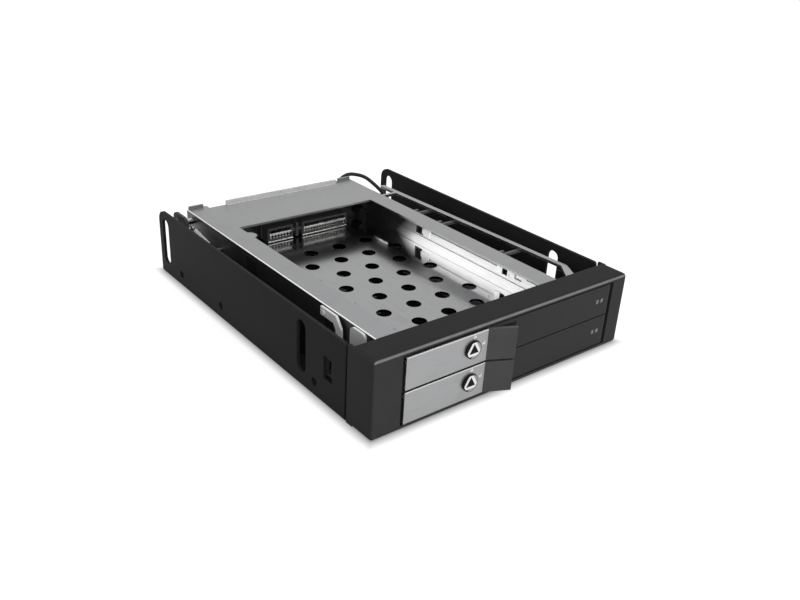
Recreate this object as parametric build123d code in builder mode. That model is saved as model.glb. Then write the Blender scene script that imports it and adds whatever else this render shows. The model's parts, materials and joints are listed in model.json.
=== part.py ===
"""Hot swap drive cage: two stacked bays for 2.5 inch drives in one 3.5 inch front bay.

Millimetres. X runs to the right as seen from the front, Y to the back, Z up. The origin is the
middle of the underside of the pan. Depths are given as distances behind the bezel's front face.
"""
import math
import os

from build123d import *

os.makedirs("parts", exist_ok=True)

# Overall sizes
bay_width = 101.6          # width of a 3.5 inch bay
rear_room = 15.4           # behind the backplane, to the rear end of the side brackets
bezel_height = 25.0
side_height = 24.3
pan_sheet = 1.0
cage_sheet = 0.8
contact_gap = 0.15         # gap between neighbours that only lie beside each other

# Bezel
left_post = 9.8            # from the bezel's left end to the door opening
right_post = 6.4
bezel_bar = 1.45           # thickness of the bars over and under the doors
bezel_depth = 9.3
cheek_depth = 11.4
bezel_round = 1.2          # rounding of the front edges over and under the doors
post_round = 0.9           # rounding of the upright front edges
bezel_wall = 1.6
post_inner_wall = 0.7
post_face = 2.0            # thickness of the front of a post
arm_width = 6.0
arm_thick = 1.4
arm_reach = 24.0
nub_half = 2.8             # half the height of the nub that snaps into the bracket
arm_eye = 2.2              # half the height of the window in the arm behind the nub
pin_end = 0.85             # the hinge pin's seat in the bars over and under the doors

# Drives and bays
drive_width = 69.85
drive_length = 100.0
drive_height = 9.5
drive_side_gap = 0.425
left_channel = 9.45        # from the outer face of the left bracket to the left rail
drive_front_gap = 0.4
bay_headroom = 0.4
shelf_sheet = 0.8

# Pan
pan_bend = 0.9
side_corner = 4.0
bezel_lap_gap = 0.9        # pan and brackets behind the bezel
slot_width = 4.8
slot_length = 17.2
slot_height = 13.2         # middle of the side slots above the floor
front_slot_left = 34.3
front_slot_right = 30.6
rear_slot_inset = 5.2      # middle of the rear slots before the end of the brackets
clip_hole = 4.4
clip_hole_start = 18.4
clip_hole_height = 7.4
clip_middle = 12.2
pilot_bore = 2.8
pilot_spots = (27.5, 84.0, 113.5)
pilot_height = 4.7
bottom_pattern_width = 95.25
bottom_pattern_length = 44.45
bottom_pattern_start = 41.3
bottom_screw_bore = 2.9
rail_screw_inset = 4.0     # rail screws from the outer face of a rail
rail_screw_front = 20.0
rail_screw_rear_inset = 5.5    # from the rear end of a rail's foot
rail_screw_radius = 1.3
rail_screw_head = 2.4
rail_screw_sink = 0.6

# Perforation of the shelf and the floor
vent_bore = 5.0
vent_pitch = 12.1
vent_rows = 7
vent_row_pitch = 10.25
vent_first_row = 28.8

# Cage rails
strip_width = 7.8
cover_lip = 1.7
rail_lip = 1.1             # upright lip at the rear end of each rail's strip
rail_lip_width = 5.6
rail_bend = 0.6            # rounding of the rails' outer top edges
strip_ear = 2.6            # radius of the rounded ear on the left strip, before the cover
strip_ear_depth = 93.6
window_behind = 3.8        # window's rear edge before the drive's rear end
tongue_half = 3.0
tongue_sheet = 0.6
bracket_half = 2.5
bracket_foot = 16.0
rib_proud = 0.3
wall_hole_front = 32.8
wall_hole_rear = 77.3
groove_depth = 0.55
tab_length = 5.0
tab_spots = (26.5, 60.0, 93.5)

# Backplane
board_thick = 1.6
socket_gap = 0.2           # drive's rear end to the receptacle
board_edge_gap = 0.2
board_bottom = 2.2
board_top = 21.6
board_foot_level = 10.4
board_head_level = 19.5
ear_reach = 4.0            # board ears, bent inwards from the rails
ear_middle = 2.2
ear_half = 2.0
board_screw = 1.6
board_screw_head = 1.7
board_screw_head_high = 1.1
cross_reach = 1.1          # half length of the arms of a cross slot
cross_half = 0.2
socket_rise = 3.2          # drive connector above the bay's floor
socket_reach = 7.2
socket_half_height = 2.45
socket_wall = 0.7
flange_half_height = 2.6
flange_thick = 3.0
key_half_height = 2.6
signal_reach = (-17.8, -7.2)   # sides of the signal and power parts from the socket's middle
power_reach = (-3.0, 17.1)
contact_half = 0.32
contact_sheet = 0.4
contact_pitch = 1.27
shield = 0.4
port_depth = 9.0
port_wall = 1.1
port_half_height = 3.0
port_tongue_inset = 2.2
port_tongue_half = 0.6
data_port_half = 6.6
power_port_half = 13.0
power_port_rise = 5.0

# Doors
door_gap = 0.5             # gap round and between the doors
door_depth = 5.2
door_panel = 2.0
door_rim = 1.2
lever_recess = 3.0         # depth of the step that holds the handle lever
hinge_inset = 2.1          # hinge axis from the end of the door opening
hinge_radius = 1.9
hinge_pin_bore = 1.6
running_gap = 0.05         # radial gap of a pin in what turns on it
scoop_width = 11.6         # from the end of the silver cover to the scoop's edge
scoop_ramp = 2.4
scoop_brow = 1.0           # height of the rim that closes the scoop at its top
window_width = 1.1
window_height = 1.3
window_rise = 5.4

# Handle levers
lever_pivot_depth = 1.5
lever_pin = 1.2
lug_radius = 1.2
lug_height = 1.3
knuckle_radius = 1.3
cover_proud = 0.5
cover_sheet = 0.6
lever_length = 29.6
lever_pivot_inset = 2.2    # pivot from the end of the door opening
fin_reach = 7.9
fin_proud = 4.3
lever_back = 2.7
lever_inset = 0.25         # carrier inside the door's top and bottom
cover_inset = 0.1          # cover and fin inside them
fin_thick = 1.05
claw_half = 2.0
claw_tip_depth = 4.2

# Locks
lock_inset = 5.9           # lock from the lever's end
lock_rise = 5.4
lock_flange = 5.5
lock_barrel = 4.9
lock_proud = 0.65
lock_rim = 0.3
lock_step = 0.3            # depth of the shallow part of the dish
lock_dish = 0.9
key_ridge = 2.35           # corner radius of the three-sided key shape
key_wall = 0.8             # its opening's corner radius is this much smaller
cam_reach = 3.3
cam_hub = 1.7
cam_thick = 0.7
cam_pocket = 4.0

# Ejector bars
ejector_travel = 7.0
bar_sheet = 1.1
bar_width = 1.75
bar_drop = 1.6             # underside of a bar below the top of its bay
arm_sheet = 0.8
arm_half = 1.0
eject_pin = 1.1
eject_offset = 3.5         # pin beside and behind the hinge axis with the door shut
bar_nose = 1.8             # a bar's front end before its pin
bar_head_right = 1.4       # edge of a bar right of the pin, clear of the hinge barrel
pin_play = 0.3
bar_tab = 1.2
bar_bend = 12.0            # where a bar leaves its head
upper_bar_step = 4.1       # how much further out the upper bar runs
upper_bar_tail = 116.0     # rear end of the upper bar
guide_spots = (39.9, 72.7, 86.5)
guide_sheet = 1.0

# Indicator lights and their cable
light_board_sheet = 1.0
lamp_radius = 0.75
holder_front = 8.0
holder_rear = 14.0
holder_half = 1.3
light_board_depths = (10.6, 21.5)
light_board_heights = (2.6, 20.2)
spacer_radius = 1.5
cable_diameter = 1.5

# Sizes that follow
half_width = bay_width / 2
drive_front = door_depth + drive_front_gap
drive_rear = drive_front + drive_length
socket_front = drive_rear + socket_gap
board_front = socket_front + socket_reach
board_back = board_front + board_thick
length = board_back + rear_room
front = -length / 2
opening_left = -half_width + left_post
opening_right = half_width - right_post
side_front = cheek_depth + bezel_lap_gap
pan_front = bezel_depth + bezel_lap_gap
pan_rear = length - 4.0
rail_front = pan_front + 0.2
rail_rear = length - 3.2
cover_rear = length - 5.6
tongue_depths = (cover_rear - 10.7, cover_rear - 4.7)
rear_slot = length - rear_slot_inset
foot_rear = board_front - 1.5
shelf_rear = board_front - 1.5
window_rear = drive_rear - window_behind
bay_height = drive_height + bay_headroom
cage_width = drive_width + 2 * drive_side_gap
outer_left = -half_width + left_channel
inner_left = outer_left + cage_sheet
inner_right = inner_left + cage_width
outer_right = inner_right + cage_sheet
cage_middle = (inner_left + inner_right) / 2
lip_span = (cage_middle - 21.8, cage_middle + 27.2)
board_screw_spots = (inner_left + 18.15, inner_right - 10.75)
socket_middle = cage_middle + 3.0
data_port_x = inner_left + 8.85
bar_tab_inner = inner_right - 1.95
lower_floor = pan_sheet + cage_sheet
shelf_bottom = lower_floor + bay_height
upper_floor = shelf_bottom + shelf_sheet
cage_top = upper_floor + bay_height + cage_sheet
door_height = (bezel_height - 2 * bezel_bar - 3 * door_gap) / 2
lower_door_bottom = bezel_bar + door_gap
upper_door_bottom = lower_door_bottom + door_height + door_gap
hinge_x = opening_right - hinge_inset
panel_end = hinge_x - 11.1     # right of this the door is only its panel
window_spots = (hinge_x - 4.7, hinge_x - 2.6)
lever_left = opening_left + 0.8
lever_pivot_x = opening_left + lever_pivot_inset
lever_right = lever_left + lever_length
cover_end = lever_right - 0.2
fin_tip = (cover_end + fin_reach, -fin_proud)
scoop_edge = cover_end + scoop_width
lock_x = lever_right - lock_inset
light_board_x = half_width - 9.1
holder_left = light_board_x - 5.1


def behind(depth):
    """Y of something this far behind the bezel's front face."""
    return front + depth


def slab(x_span, depth_span, z_span, mode=Mode.ADD):
    """A box between three pairs of limits, with its depths measured from the bezel's face."""
    y_span = (behind(depth_span[0]), behind(depth_span[1]))
    spans = (x_span, y_span, z_span)
    with Locations(tuple((low + high) / 2 for low, high in spans)):
        Box(*(high - low for low, high in spans), mode=mode)


def post(x, depth, radius, z_span, mode=Mode.ADD):
    """An upright cylinder."""
    with Locations((x, behind(depth), (z_span[0] + z_span[1]) / 2)):
        Cylinder(radius, z_span[1] - z_span[0], mode=mode)


def plug_along_y(x, z, radius, depth_span, mode=Mode.ADD):
    """A cylinder that points from front to back."""
    with Locations(Location((x, behind(sum(depth_span) / 2), z), (90, 0, 0))):
        Cylinder(radius, depth_span[1] - depth_span[0], mode=mode)


def plug_along_x(depth, z, radius, x_span, mode=Mode.ADD):
    """A cylinder that points from side to side."""
    with Locations(Location((sum(x_span) / 2, behind(depth), z), (0, 90, 0))):
        Cylinder(radius, x_span[1] - x_span[0], mode=mode)


def write(piece, name):
    """Label a finished piece and write it as its own file."""
    piece.part.label = name
    export_step(piece.part, f"parts/{name}.step")


def mirrored(span):
    """The same span on the other side of the middle plane."""
    return (-span[1], -span[0])


def vent_places():
    """Centres of the round vents: staggered rows, symmetric about the cage's middle."""
    places = []
    for row in range(vent_rows):
        holes = 4 if row % 2 == 0 else 5
        for hole in range(holes):
            x = cage_middle + (hole - (holes - 1) / 2) * vent_pitch
            places.append((x, behind(vent_first_row + row * vent_row_pitch)))
    return places


def cut_vents(middle_z, sheet):
    """Punch the vents through a sheet."""
    with Locations(*[(x, y, middle_z) for x, y in vent_places()]):
        Cylinder(vent_bore / 2, sheet * 3, mode=Mode.SUBTRACT)


def bay_wall_marks(floor):
    """Depth and height spans of the holes, grooves and ribs in one bay's side walls."""
    holes = (
        ((wall_hole_front, wall_hole_front + 2.4), (floor + 3.6, floor + 7.6)),
        ((wall_hole_rear, wall_hole_rear + 4.3), (floor + 2.8, floor + 7.9)),
    )
    grooves = (
        ((wall_hole_front + 4.4, wall_hole_rear - 4.3), (floor + 5.3, floor + 5.9)),
        ((26.0, 32.0), (floor + 4.0, floor + 4.6)),
        ((18.8, 23.8), (floor + 5.4, floor + 6.0)),
    )
    ribs = (
        ((14.0, 98.0), (floor + 1.7, floor + 2.3)),
        ((40.0, 70.0), (floor + 6.9, floor + 7.4)),
        ((73.6, 76.9), (floor + 3.6, floor + 7.6)),
        ((35.6, 36.8), (floor + 3.6, floor + 7.2)),
    )
    return holes, grooves, ribs


# Pan with the side brackets
rail_screw_depths = (rail_screw_front, foot_rear - rail_screw_rear_inset)
rail_screw_lines = (outer_left + rail_screw_inset, outer_right - rail_screw_inset)
floor_spots = [(x, depth) for x in rail_screw_lines for depth in rail_screw_depths]

with BuildPart() as pan:
    slab((-half_width, half_width), (side_front, pan_rear), (0, pan_sheet))
    slab((-half_width + bezel_wall, half_width - bezel_wall), (pan_front, side_front + 1), (0, pan_sheet))
    for side in (-1, 1):
        inner = half_width - pan_sheet
        x_span = (inner, half_width) if side > 0 else (-half_width, -inner)
        slab(x_span, (side_front, length), (0, side_height))
    long_edges = pan.edges().filter_by(Axis.Y).group_by(Axis.Z)[0]
    fillet([edge for edge in long_edges if abs(abs(edge.center().X) - half_width) < 0.01], pan_bend)
    corners = pan.edges().filter_by(Axis.X).group_by(Axis.Z)[-1].group_by(Axis.Y)
    fillet(corners[-1], side_corner)
    fillet(corners[0], side_corner / 4)
    for side, front_slot in ((-1, front_slot_left), (1, front_slot_right)):
        for depth in (front_slot, rear_slot):
            with BuildSketch(Plane.YZ.offset(side * (half_width - pan_sheet / 2))):
                with Locations((behind(depth), slot_height)):
                    SlotOverall(slot_length, slot_width, rotation=90)
            extrude(amount=pan_sheet, both=True, mode=Mode.SUBTRACT)
        edge = side * half_width
        x_span = (edge - 2 * pan_sheet, edge + 2 * pan_sheet)
        slab(
            x_span,
            (clip_hole_start, clip_hole_start + clip_hole),
            (clip_middle - clip_hole_height / 2, clip_middle + clip_hole_height / 2),
            Mode.SUBTRACT,
        )
        for depth in pilot_spots:
            plug_along_x(depth, pilot_height, pilot_bore / 2, x_span, Mode.SUBTRACT)
    cut_vents(pan_sheet / 2, pan_sheet)
    for x in (-bottom_pattern_width / 2, bottom_pattern_width / 2):
        for step in (0, bottom_pattern_length):
            post(x, bottom_pattern_start + step, bottom_screw_bore / 2, (-1, 2), Mode.SUBTRACT)
    for x, depth in floor_spots:
        post(x, depth, rail_screw_radius, (-1, 2), Mode.SUBTRACT)
        post(x, depth, rail_screw_head, (-1, rail_screw_sink), Mode.SUBTRACT)
write(pan, "chassis_pan")

with BuildPart() as rail_screws:
    for x, depth in floor_spots:
        post(x, depth, rail_screw_radius, (0, lower_floor))
        post(x, depth, rail_screw_head, (0, rail_screw_sink))
        with Locations((x, behind(depth), 0)):
            Box(2.6, 0.6, 0.6, mode=Mode.SUBTRACT)
            Box(0.6, 2.6, 0.6, mode=Mode.SUBTRACT)
write(rail_screws, "rail_screws")

# Bezel frame
pin_span = (bezel_bar - pin_end, bezel_height - bezel_bar + pin_end)
claw_levels = (lower_door_bottom + door_height / 2, upper_door_bottom + door_height / 2)

with BuildPart() as bezel:
    slab((-half_width, half_width), (0, bezel_depth), (0, bezel_height))
    fillet(bezel.edges().filter_by(Axis.Z).group_by(Axis.Y)[0], post_round)
    fillet(bezel.edges().filter_by(Axis.X).group_by(Axis.Y)[0], bezel_round)
    slab(
        (opening_left, opening_right),
        (-1, bezel_depth + 1),
        (bezel_bar, bezel_height - bezel_bar),
        Mode.SUBTRACT,
    )
    inside = (bezel_bar + 0.2, bezel_height - bezel_bar - 0.2)
    left_pocket = (-half_width + bezel_wall, opening_left - post_inner_wall)
    right_pocket = (opening_right + post_inner_wall, half_width - bezel_wall)
    for pocket in (left_pocket, right_pocket):
        slab(pocket, (post_face, bezel_depth + 1), inside, Mode.SUBTRACT)
    for level in claw_levels:
        slab(
            (opening_left - 2 * post_inner_wall, opening_left + 0.1),
            (post_face + 0.2, door_depth),
            (level - claw_half - 0.6, level + claw_half + 0.6),
            Mode.SUBTRACT,
        )
    for side in (-1, 1):
        cheek = (half_width - 0.9, half_width)
        inner = half_width - pan_sheet - contact_gap
        arm = (inner - arm_thick, inner)
        nub = (inner - 0.2, half_width - 0.7)
        spans = [cheek, arm, nub]
        if side < 0:
            spans = [mirrored(span) for span in spans]
        slab(spans[0], (bezel_depth - 0.5, cheek_depth), (0.2, bezel_height - 0.2))
        arm_span = (clip_middle - arm_width / 2, clip_middle + arm_width / 2)
        nub_span = (clip_middle - nub_half, clip_middle + nub_half)
        slab(spans[1], (post_face - 0.2, arm_reach), arm_span)
        slab(spans[2], (clip_hole_start + 0.15, clip_hole_start + 1.4), nub_span)
        arm_window = (clip_hole_start + 1.4, clip_hole_start + clip_hole + 0.6)
        slab(spans[1], arm_window, (clip_middle - arm_eye, clip_middle + arm_eye), Mode.SUBTRACT)
    post(
        hinge_x,
        hinge_radius,
        hinge_pin_bore / 2,
        pin_span,
        Mode.SUBTRACT,
    )
write(bezel, "bezel_frame")

with BuildPart() as hinge_rod:
    post(hinge_x, hinge_radius, hinge_pin_bore / 2, pin_span)
write(hinge_rod, "door_hinge_pin")


# Cage rails: channels with their open sides facing each other
def make_rail(side, name):
    """One side rail; side is -1 for the left one and 1 for the right one."""
    wall = (inner_right, outer_right) if side > 0 else (outer_left, inner_left)
    strip = (outer_right - strip_width, outer_right) if side > 0 else (outer_left, outer_left + strip_width)
    face = inner_right if side > 0 else inner_left
    proud = (face - rib_proud, face + 0.1) if side > 0 else (face - 0.1, face + rib_proud)
    sunk = (face - 1.0, face + groove_depth) if side > 0 else (face - groove_depth, face + 1.0)
    with BuildPart() as rail:
        slab(wall, (rail_front, rail_rear), (pan_sheet, cage_top))
        slab(strip, (rail_front, rail_rear), (cage_top - cage_sheet, cage_top))
        slab(strip, (rail_front, foot_rear), (pan_sheet, lower_floor))
        outer = outer_right if side > 0 else outer_left
        bend = rail.edges().filter_by(Axis.Y).group_by(Axis.Z)[-1].sort_by_distance((outer, 0, cage_top))[0]
        fillet(bend, rail_bend)
        lip = (outer - side * (rail_lip_width + rail_bend), outer - side * rail_bend)
        slab((min(lip), max(lip)), (rail_rear - cage_sheet, rail_rear), (cage_top - 0.1, cage_top + rail_lip))
        if side < 0:
            post(strip[1] - 0.6, strip_ear_depth, strip_ear, (cage_top - cage_sheet, cage_top))
        ear = (face - ear_reach, face) if side > 0 else (face, face + ear_reach)
        ear_heights = (board_foot_level - ear_half, board_foot_level + ear_half)
        slab(ear, (board_back, board_back + cage_sheet), ear_heights)
        for floor in (lower_floor, upper_floor):
            holes, grooves, ribs = bay_wall_marks(floor)
            for depths, heights in ribs:
                slab(proud, depths, heights)
            for depths, heights in grooves:
                slab(sunk, depths, heights, Mode.SUBTRACT)
            for depths, heights in holes:
                slab((wall[0] - 1, wall[1] + 1), depths, heights, Mode.SUBTRACT)
            if side > 0:
                low = floor + bay_height - bar_drop - pin_play
                slab(
                    (wall[0] - 1, wall[1] + 1),
                    (drive_rear + pin_play - ejector_travel - 0.4, drive_rear + pin_play + bar_tab + 0.6),
                    (low, low + bar_sheet + 2 * pin_play - 0.05),
                    Mode.SUBTRACT,
                )
        for depth in tab_spots:
            slab(
                (wall[0] - 1, wall[1] + 1),
                (depth - tab_length / 2 - 0.1, depth + tab_length / 2 + 0.1),
                (shelf_bottom, upper_floor),
                Mode.SUBTRACT,
            )
        plug_along_y(
            face - side * ear_middle,
            board_foot_level,
            board_screw / 2,
            (board_back - 1, board_back + 3),
            Mode.SUBTRACT,
        )
        for x, depth in floor_spots:
            post(x, depth, rail_screw_radius, (0, lower_floor + 1), Mode.SUBTRACT)
    write(rail, name)


make_rail(-1, "left_cage_rail")
make_rail(1, "right_cage_rail")

# Rear cover plate between the rails, with its tongues under the strips and two board brackets
with BuildPart() as cover:
    plate = (outer_left + strip_width, outer_right - strip_width)
    slab(plate, (window_rear, cover_rear), (cage_top - cage_sheet, cage_top))
    slab(lip_span, (cover_rear - 0.6, cover_rear), (cage_top - 0.1, cage_top + cover_lip))
    for edge in plate:
        tongue = (cage_top - cage_sheet - tongue_sheet, cage_top - cage_sheet)
        slab((edge - tongue_half, edge + tongue_half), tongue_depths, tongue)
    for x in board_screw_spots:
        bracket = (x - bracket_half, x + bracket_half)
        slab(bracket, (board_back, board_back + cage_sheet), (bracket_foot, cage_top - 0.1))
        plug_along_y(x, board_head_level, board_screw / 2, (board_back - 1, board_back + 3), Mode.SUBTRACT)
write(cover, "rear_cover_plate")

# Middle shelf, held by tabs in the rail walls
with BuildPart() as shelf:
    slab((inner_left, inner_right), (rail_front + 0.2, shelf_rear), (shelf_bottom, upper_floor))
    for depth in tab_spots:
        slab(
            (outer_left - 0.5, outer_right + 0.5),
            (depth - tab_length / 2, depth + tab_length / 2),
            (shelf_bottom, upper_floor),
        )
    cut_vents(shelf_bottom + shelf_sheet / 2, shelf_sheet)
write(shelf, "middle_shelf")

# Backplane board and what is soldered to it
corner_spots = tuple((x, board_foot_level) for x in (inner_left + ear_middle, inner_right - ear_middle))
board_spots = corner_spots + tuple((x, board_head_level) for x in board_screw_spots)

with BuildPart() as board:
    slab(
        (inner_left + board_edge_gap, inner_right - board_edge_gap),
        (board_front, board_back),
        (board_bottom, board_top),
    )
    for x, z in board_spots:
        plug_along_y(x, z, board_screw / 2, (board_front - 1, board_back + 1), Mode.SUBTRACT)
write(board, "backplane_board")

with BuildPart() as board_screws:
    for x, z in board_spots:
        plug_along_y(x, z, board_screw / 2, (board_front, board_back + cage_sheet))
        plug_along_y(x, z, board_screw_head, (board_front - board_screw_head_high, board_front))
        cross_depths = (board_front - board_screw_head_high - 0.1, board_front - 0.6)
        for across, up in ((cross_reach, cross_half), (cross_half, cross_reach)):
            slab((x - across, x + across), cross_depths, (z - up, z + up), Mode.SUBTRACT)
write(board_screws, "backplane_screws")

signal_span = tuple(socket_middle + reach for reach in signal_reach)
power_span = tuple(socket_middle + reach for reach in power_reach)
flange_front = board_front - flange_thick


def make_socket(level, prefix):
    """Drive receptacle of one bay, its steel shields and its contacts."""
    half = socket_half_height
    with BuildPart() as socket:
        flange = (signal_span[0] - 0.4, power_span[1] + 0.4)
        flange_heights = (level - flange_half_height, level + flange_half_height)
        slab(flange, (flange_front, board_front), flange_heights)
        for span in (signal_span, power_span):
            slab(span, (socket_front, flange_front + 1), (level - half, level + half))
            hollow = (span[0] + socket_wall, span[1] - socket_wall)
            slab(
                hollow,
                (socket_front - 1, flange_front),
                (level - half + socket_wall, level + half - socket_wall),
                Mode.SUBTRACT,
            )
        middle = (signal_span[1] + power_span[0]) / 2
        key_heights = (level - key_half_height, level + key_half_height)
        slab((middle - 0.5, middle + 0.5), (socket_front + 0.2, flange_front + 1), key_heights)
        web = (signal_span[1] - 0.1, power_span[0] + 0.1)
        slab(web, (socket_front + 0.6, flange_front + 1), (level - 0.5, level + 0.5))
    write(socket, f"{prefix}_drive_socket")
    with BuildPart() as shields:
        for span in (signal_span, power_span):
            inside = (span[0] + socket_wall, span[1] - socket_wall)
            slab(inside, (socket_front - 0.2, flange_front), (level - 0.1, level + 0.1 + shield))
            slab(span, (socket_front - 0.2, flange_front), (level - half - shield, level - half))
    write(shields, f"{prefix}_socket_shields")
    with BuildPart() as contacts:
        for span, count in ((signal_span, 7), (power_span, 15)):
            middle = sum(span) / 2
            for number in range(count):
                x = middle + (number - (count - 1) / 2) * contact_pitch
                sides = (x - contact_half, x + contact_half)
                for low in (level - 0.75, level - half + socket_wall + 0.1):
                    slab(sides, (socket_front + 0.3, flange_front), (low, low + contact_sheet))
    write(contacts, f"{prefix}_socket_contacts")


make_socket(lower_floor + socket_rise, "lower")
make_socket(upper_floor + socket_rise, "upper")


def make_port(x, level, half_span, name):
    """A plug on the back of the backplane, with its tongue."""
    with BuildPart() as port:
        heights = (level - port_half_height, level + port_half_height)
        slab((x - half_span, x + half_span), (board_back, board_back + port_depth), heights)
        slab(
            (x - half_span + port_wall, x + half_span - port_wall),
            (board_back + 2, board_back + port_depth + 1),
            (heights[0] + port_wall, heights[1] - port_wall),
            Mode.SUBTRACT,
        )
        tongue = (x - half_span + port_tongue_inset, x + half_span - port_tongue_inset)
        tongue_depths = (board_back + 1.5, board_back + port_depth - 1)
        slab(tongue, tongue_depths, (level - port_tongue_half, level + port_tongue_half))
        slab((tongue[0], tongue[0] + 1.2), tongue_depths, (level - 1.5, level + port_tongue_half))
    write(port, name)


make_port(data_port_x, lower_floor + socket_rise, data_port_half, "lower_data_port")
make_port(data_port_x, upper_floor + socket_rise, data_port_half, "upper_data_port")
make_port(cage_middle + 5.2, lower_floor + power_port_rise, power_port_half, "power_port")

capacitor_x = inner_right - 5.75
capacitor_high = 5.4
chip_places = (
    (44.15, 7.0, 1.2, (14.0, 19.0)),
    (24.15, 4.0, 1.1, (14.5, 17.5)),
    (17.65, 2.5, 1.0, (15.0, 18.5)),
)

with BuildPart() as capacitors:
    for level in (lower_floor, upper_floor):
        plug_along_y(capacitor_x, level + 3.4, 2.0, (board_front - capacitor_high, board_front))
write(capacitors, "backplane_capacitors")

with BuildPart() as chips:
    for inset, wide, high, heights in chip_places:
        left = inner_right - inset
        slab((left, left + wide), (board_back, board_back + high), heights)
write(chips, "backplane_chips")

# Keeper, latch link, ear bracket and spring in the left side channel
keeper_span = (outer_left - cage_sheet, outer_left)
keeper_depths = (15.6, 22.6)
keeper_heights = (4.0, cage_top - 0.5)
keeper_corner = 1.6
link_sheet = 0.8
link_width = 2.6
link_pin = 0.8
link_route = ((36.4, 21.9), (29.2, 21.9), (27.2, 19.4), (27.2, 5.0))
link_pins = ((34.8, 21.7), (27.2, 6.2))

with BuildPart() as keeper:
    slab(keeper_span, keeper_depths, keeper_heights)
    fillet(keeper.edges().filter_by(Axis.X).group_by(Axis.Z)[-1], keeper_corner)
write(keeper, "latch_keeper")

with BuildPart() as link:
    with BuildSketch(Plane.YZ.offset(outer_left - 2 * link_sheet)):
        with BuildLine():
            Polyline(*[(behind(depth), z) for depth, z in link_route])
        trace(line_width=link_width)
    extrude(amount=link_sheet)
    for depth, z in link_pins:
        plug_along_x(depth, z, link_pin, (outer_left - 2.5 * link_sheet, outer_left))
write(link, "latch_link")

ear_span = (-half_width + 3.8, -half_width + 4.8)
ear_depths = (length - 14.4, pan_rear)
ear_height = 24.2
ear_corner = 2.4
rivet_radius = 1.2
rivet_head = 2.0
rivet_head_high = 0.7
peg_radius = 0.6
rivet_depth = pan_rear - 3.6
rivet_level = 20.4
peg_near = (pan_rear - 8.6, 19.6)
peg_far = (pan_rear - 25.5, 17.2)

with BuildPart() as ear:
    slab(ear_span, ear_depths, (pan_sheet, ear_height))
    fillet(ear.edges().filter_by(Axis.X).group_by(Axis.Z)[-1], ear_corner)
    slab((ear_span[1] - 0.1, outer_left - 0.3), ear_depths, (pan_sheet, pan_sheet + 1.0))
    through = (ear_span[0] - 1, ear_span[1] + 1)
    plug_along_x(rivet_depth, rivet_level, rivet_radius, through, Mode.SUBTRACT)
write(ear, "rear_ear")

with BuildPart() as rivet:
    plug_along_x(rivet_depth, rivet_level, rivet_radius, (ear_span[0], outer_left))
    plug_along_x(rivet_depth, rivet_level, rivet_head, (ear_span[0] - rivet_head_high, ear_span[0]))
    plug_along_x(rivet_depth, rivet_level, rivet_head - 0.2, (ear_span[1], ear_span[1] + 1.2))
write(rivet, "ear_rivet")

spring_x = -half_width + 6.5
coil_radius = 1.5
spring_wire = 0.7
with BuildPart() as pegs:
    plug_along_x(peg_near[0], peg_near[1], peg_radius, (ear_span[1], spring_x + 1.0))
    plug_along_x(peg_far[0], peg_far[1], peg_radius, (spring_x - 1.0, outer_left))
write(pegs, "spring_pegs")

spring_run = math.hypot(peg_near[0] - peg_far[0], peg_near[1] - peg_far[1])
spring_tilt = math.degrees(math.atan2(peg_near[1] - peg_far[1], peg_near[0] - peg_far[0]))
with BuildPart() as spring:
    middle = (spring_x, behind((peg_near[0] + peg_far[0]) / 2), (peg_near[1] + peg_far[1]) / 2)
    with Locations(Location(middle, (90 + spring_tilt, 0, 0))):
        Cylinder(coil_radius, spring_run - 5.0)
        Cylinder(spring_wire / 2, spring_run - 2 * peg_radius - 0.1)
write(spring, "side_spring")


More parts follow.
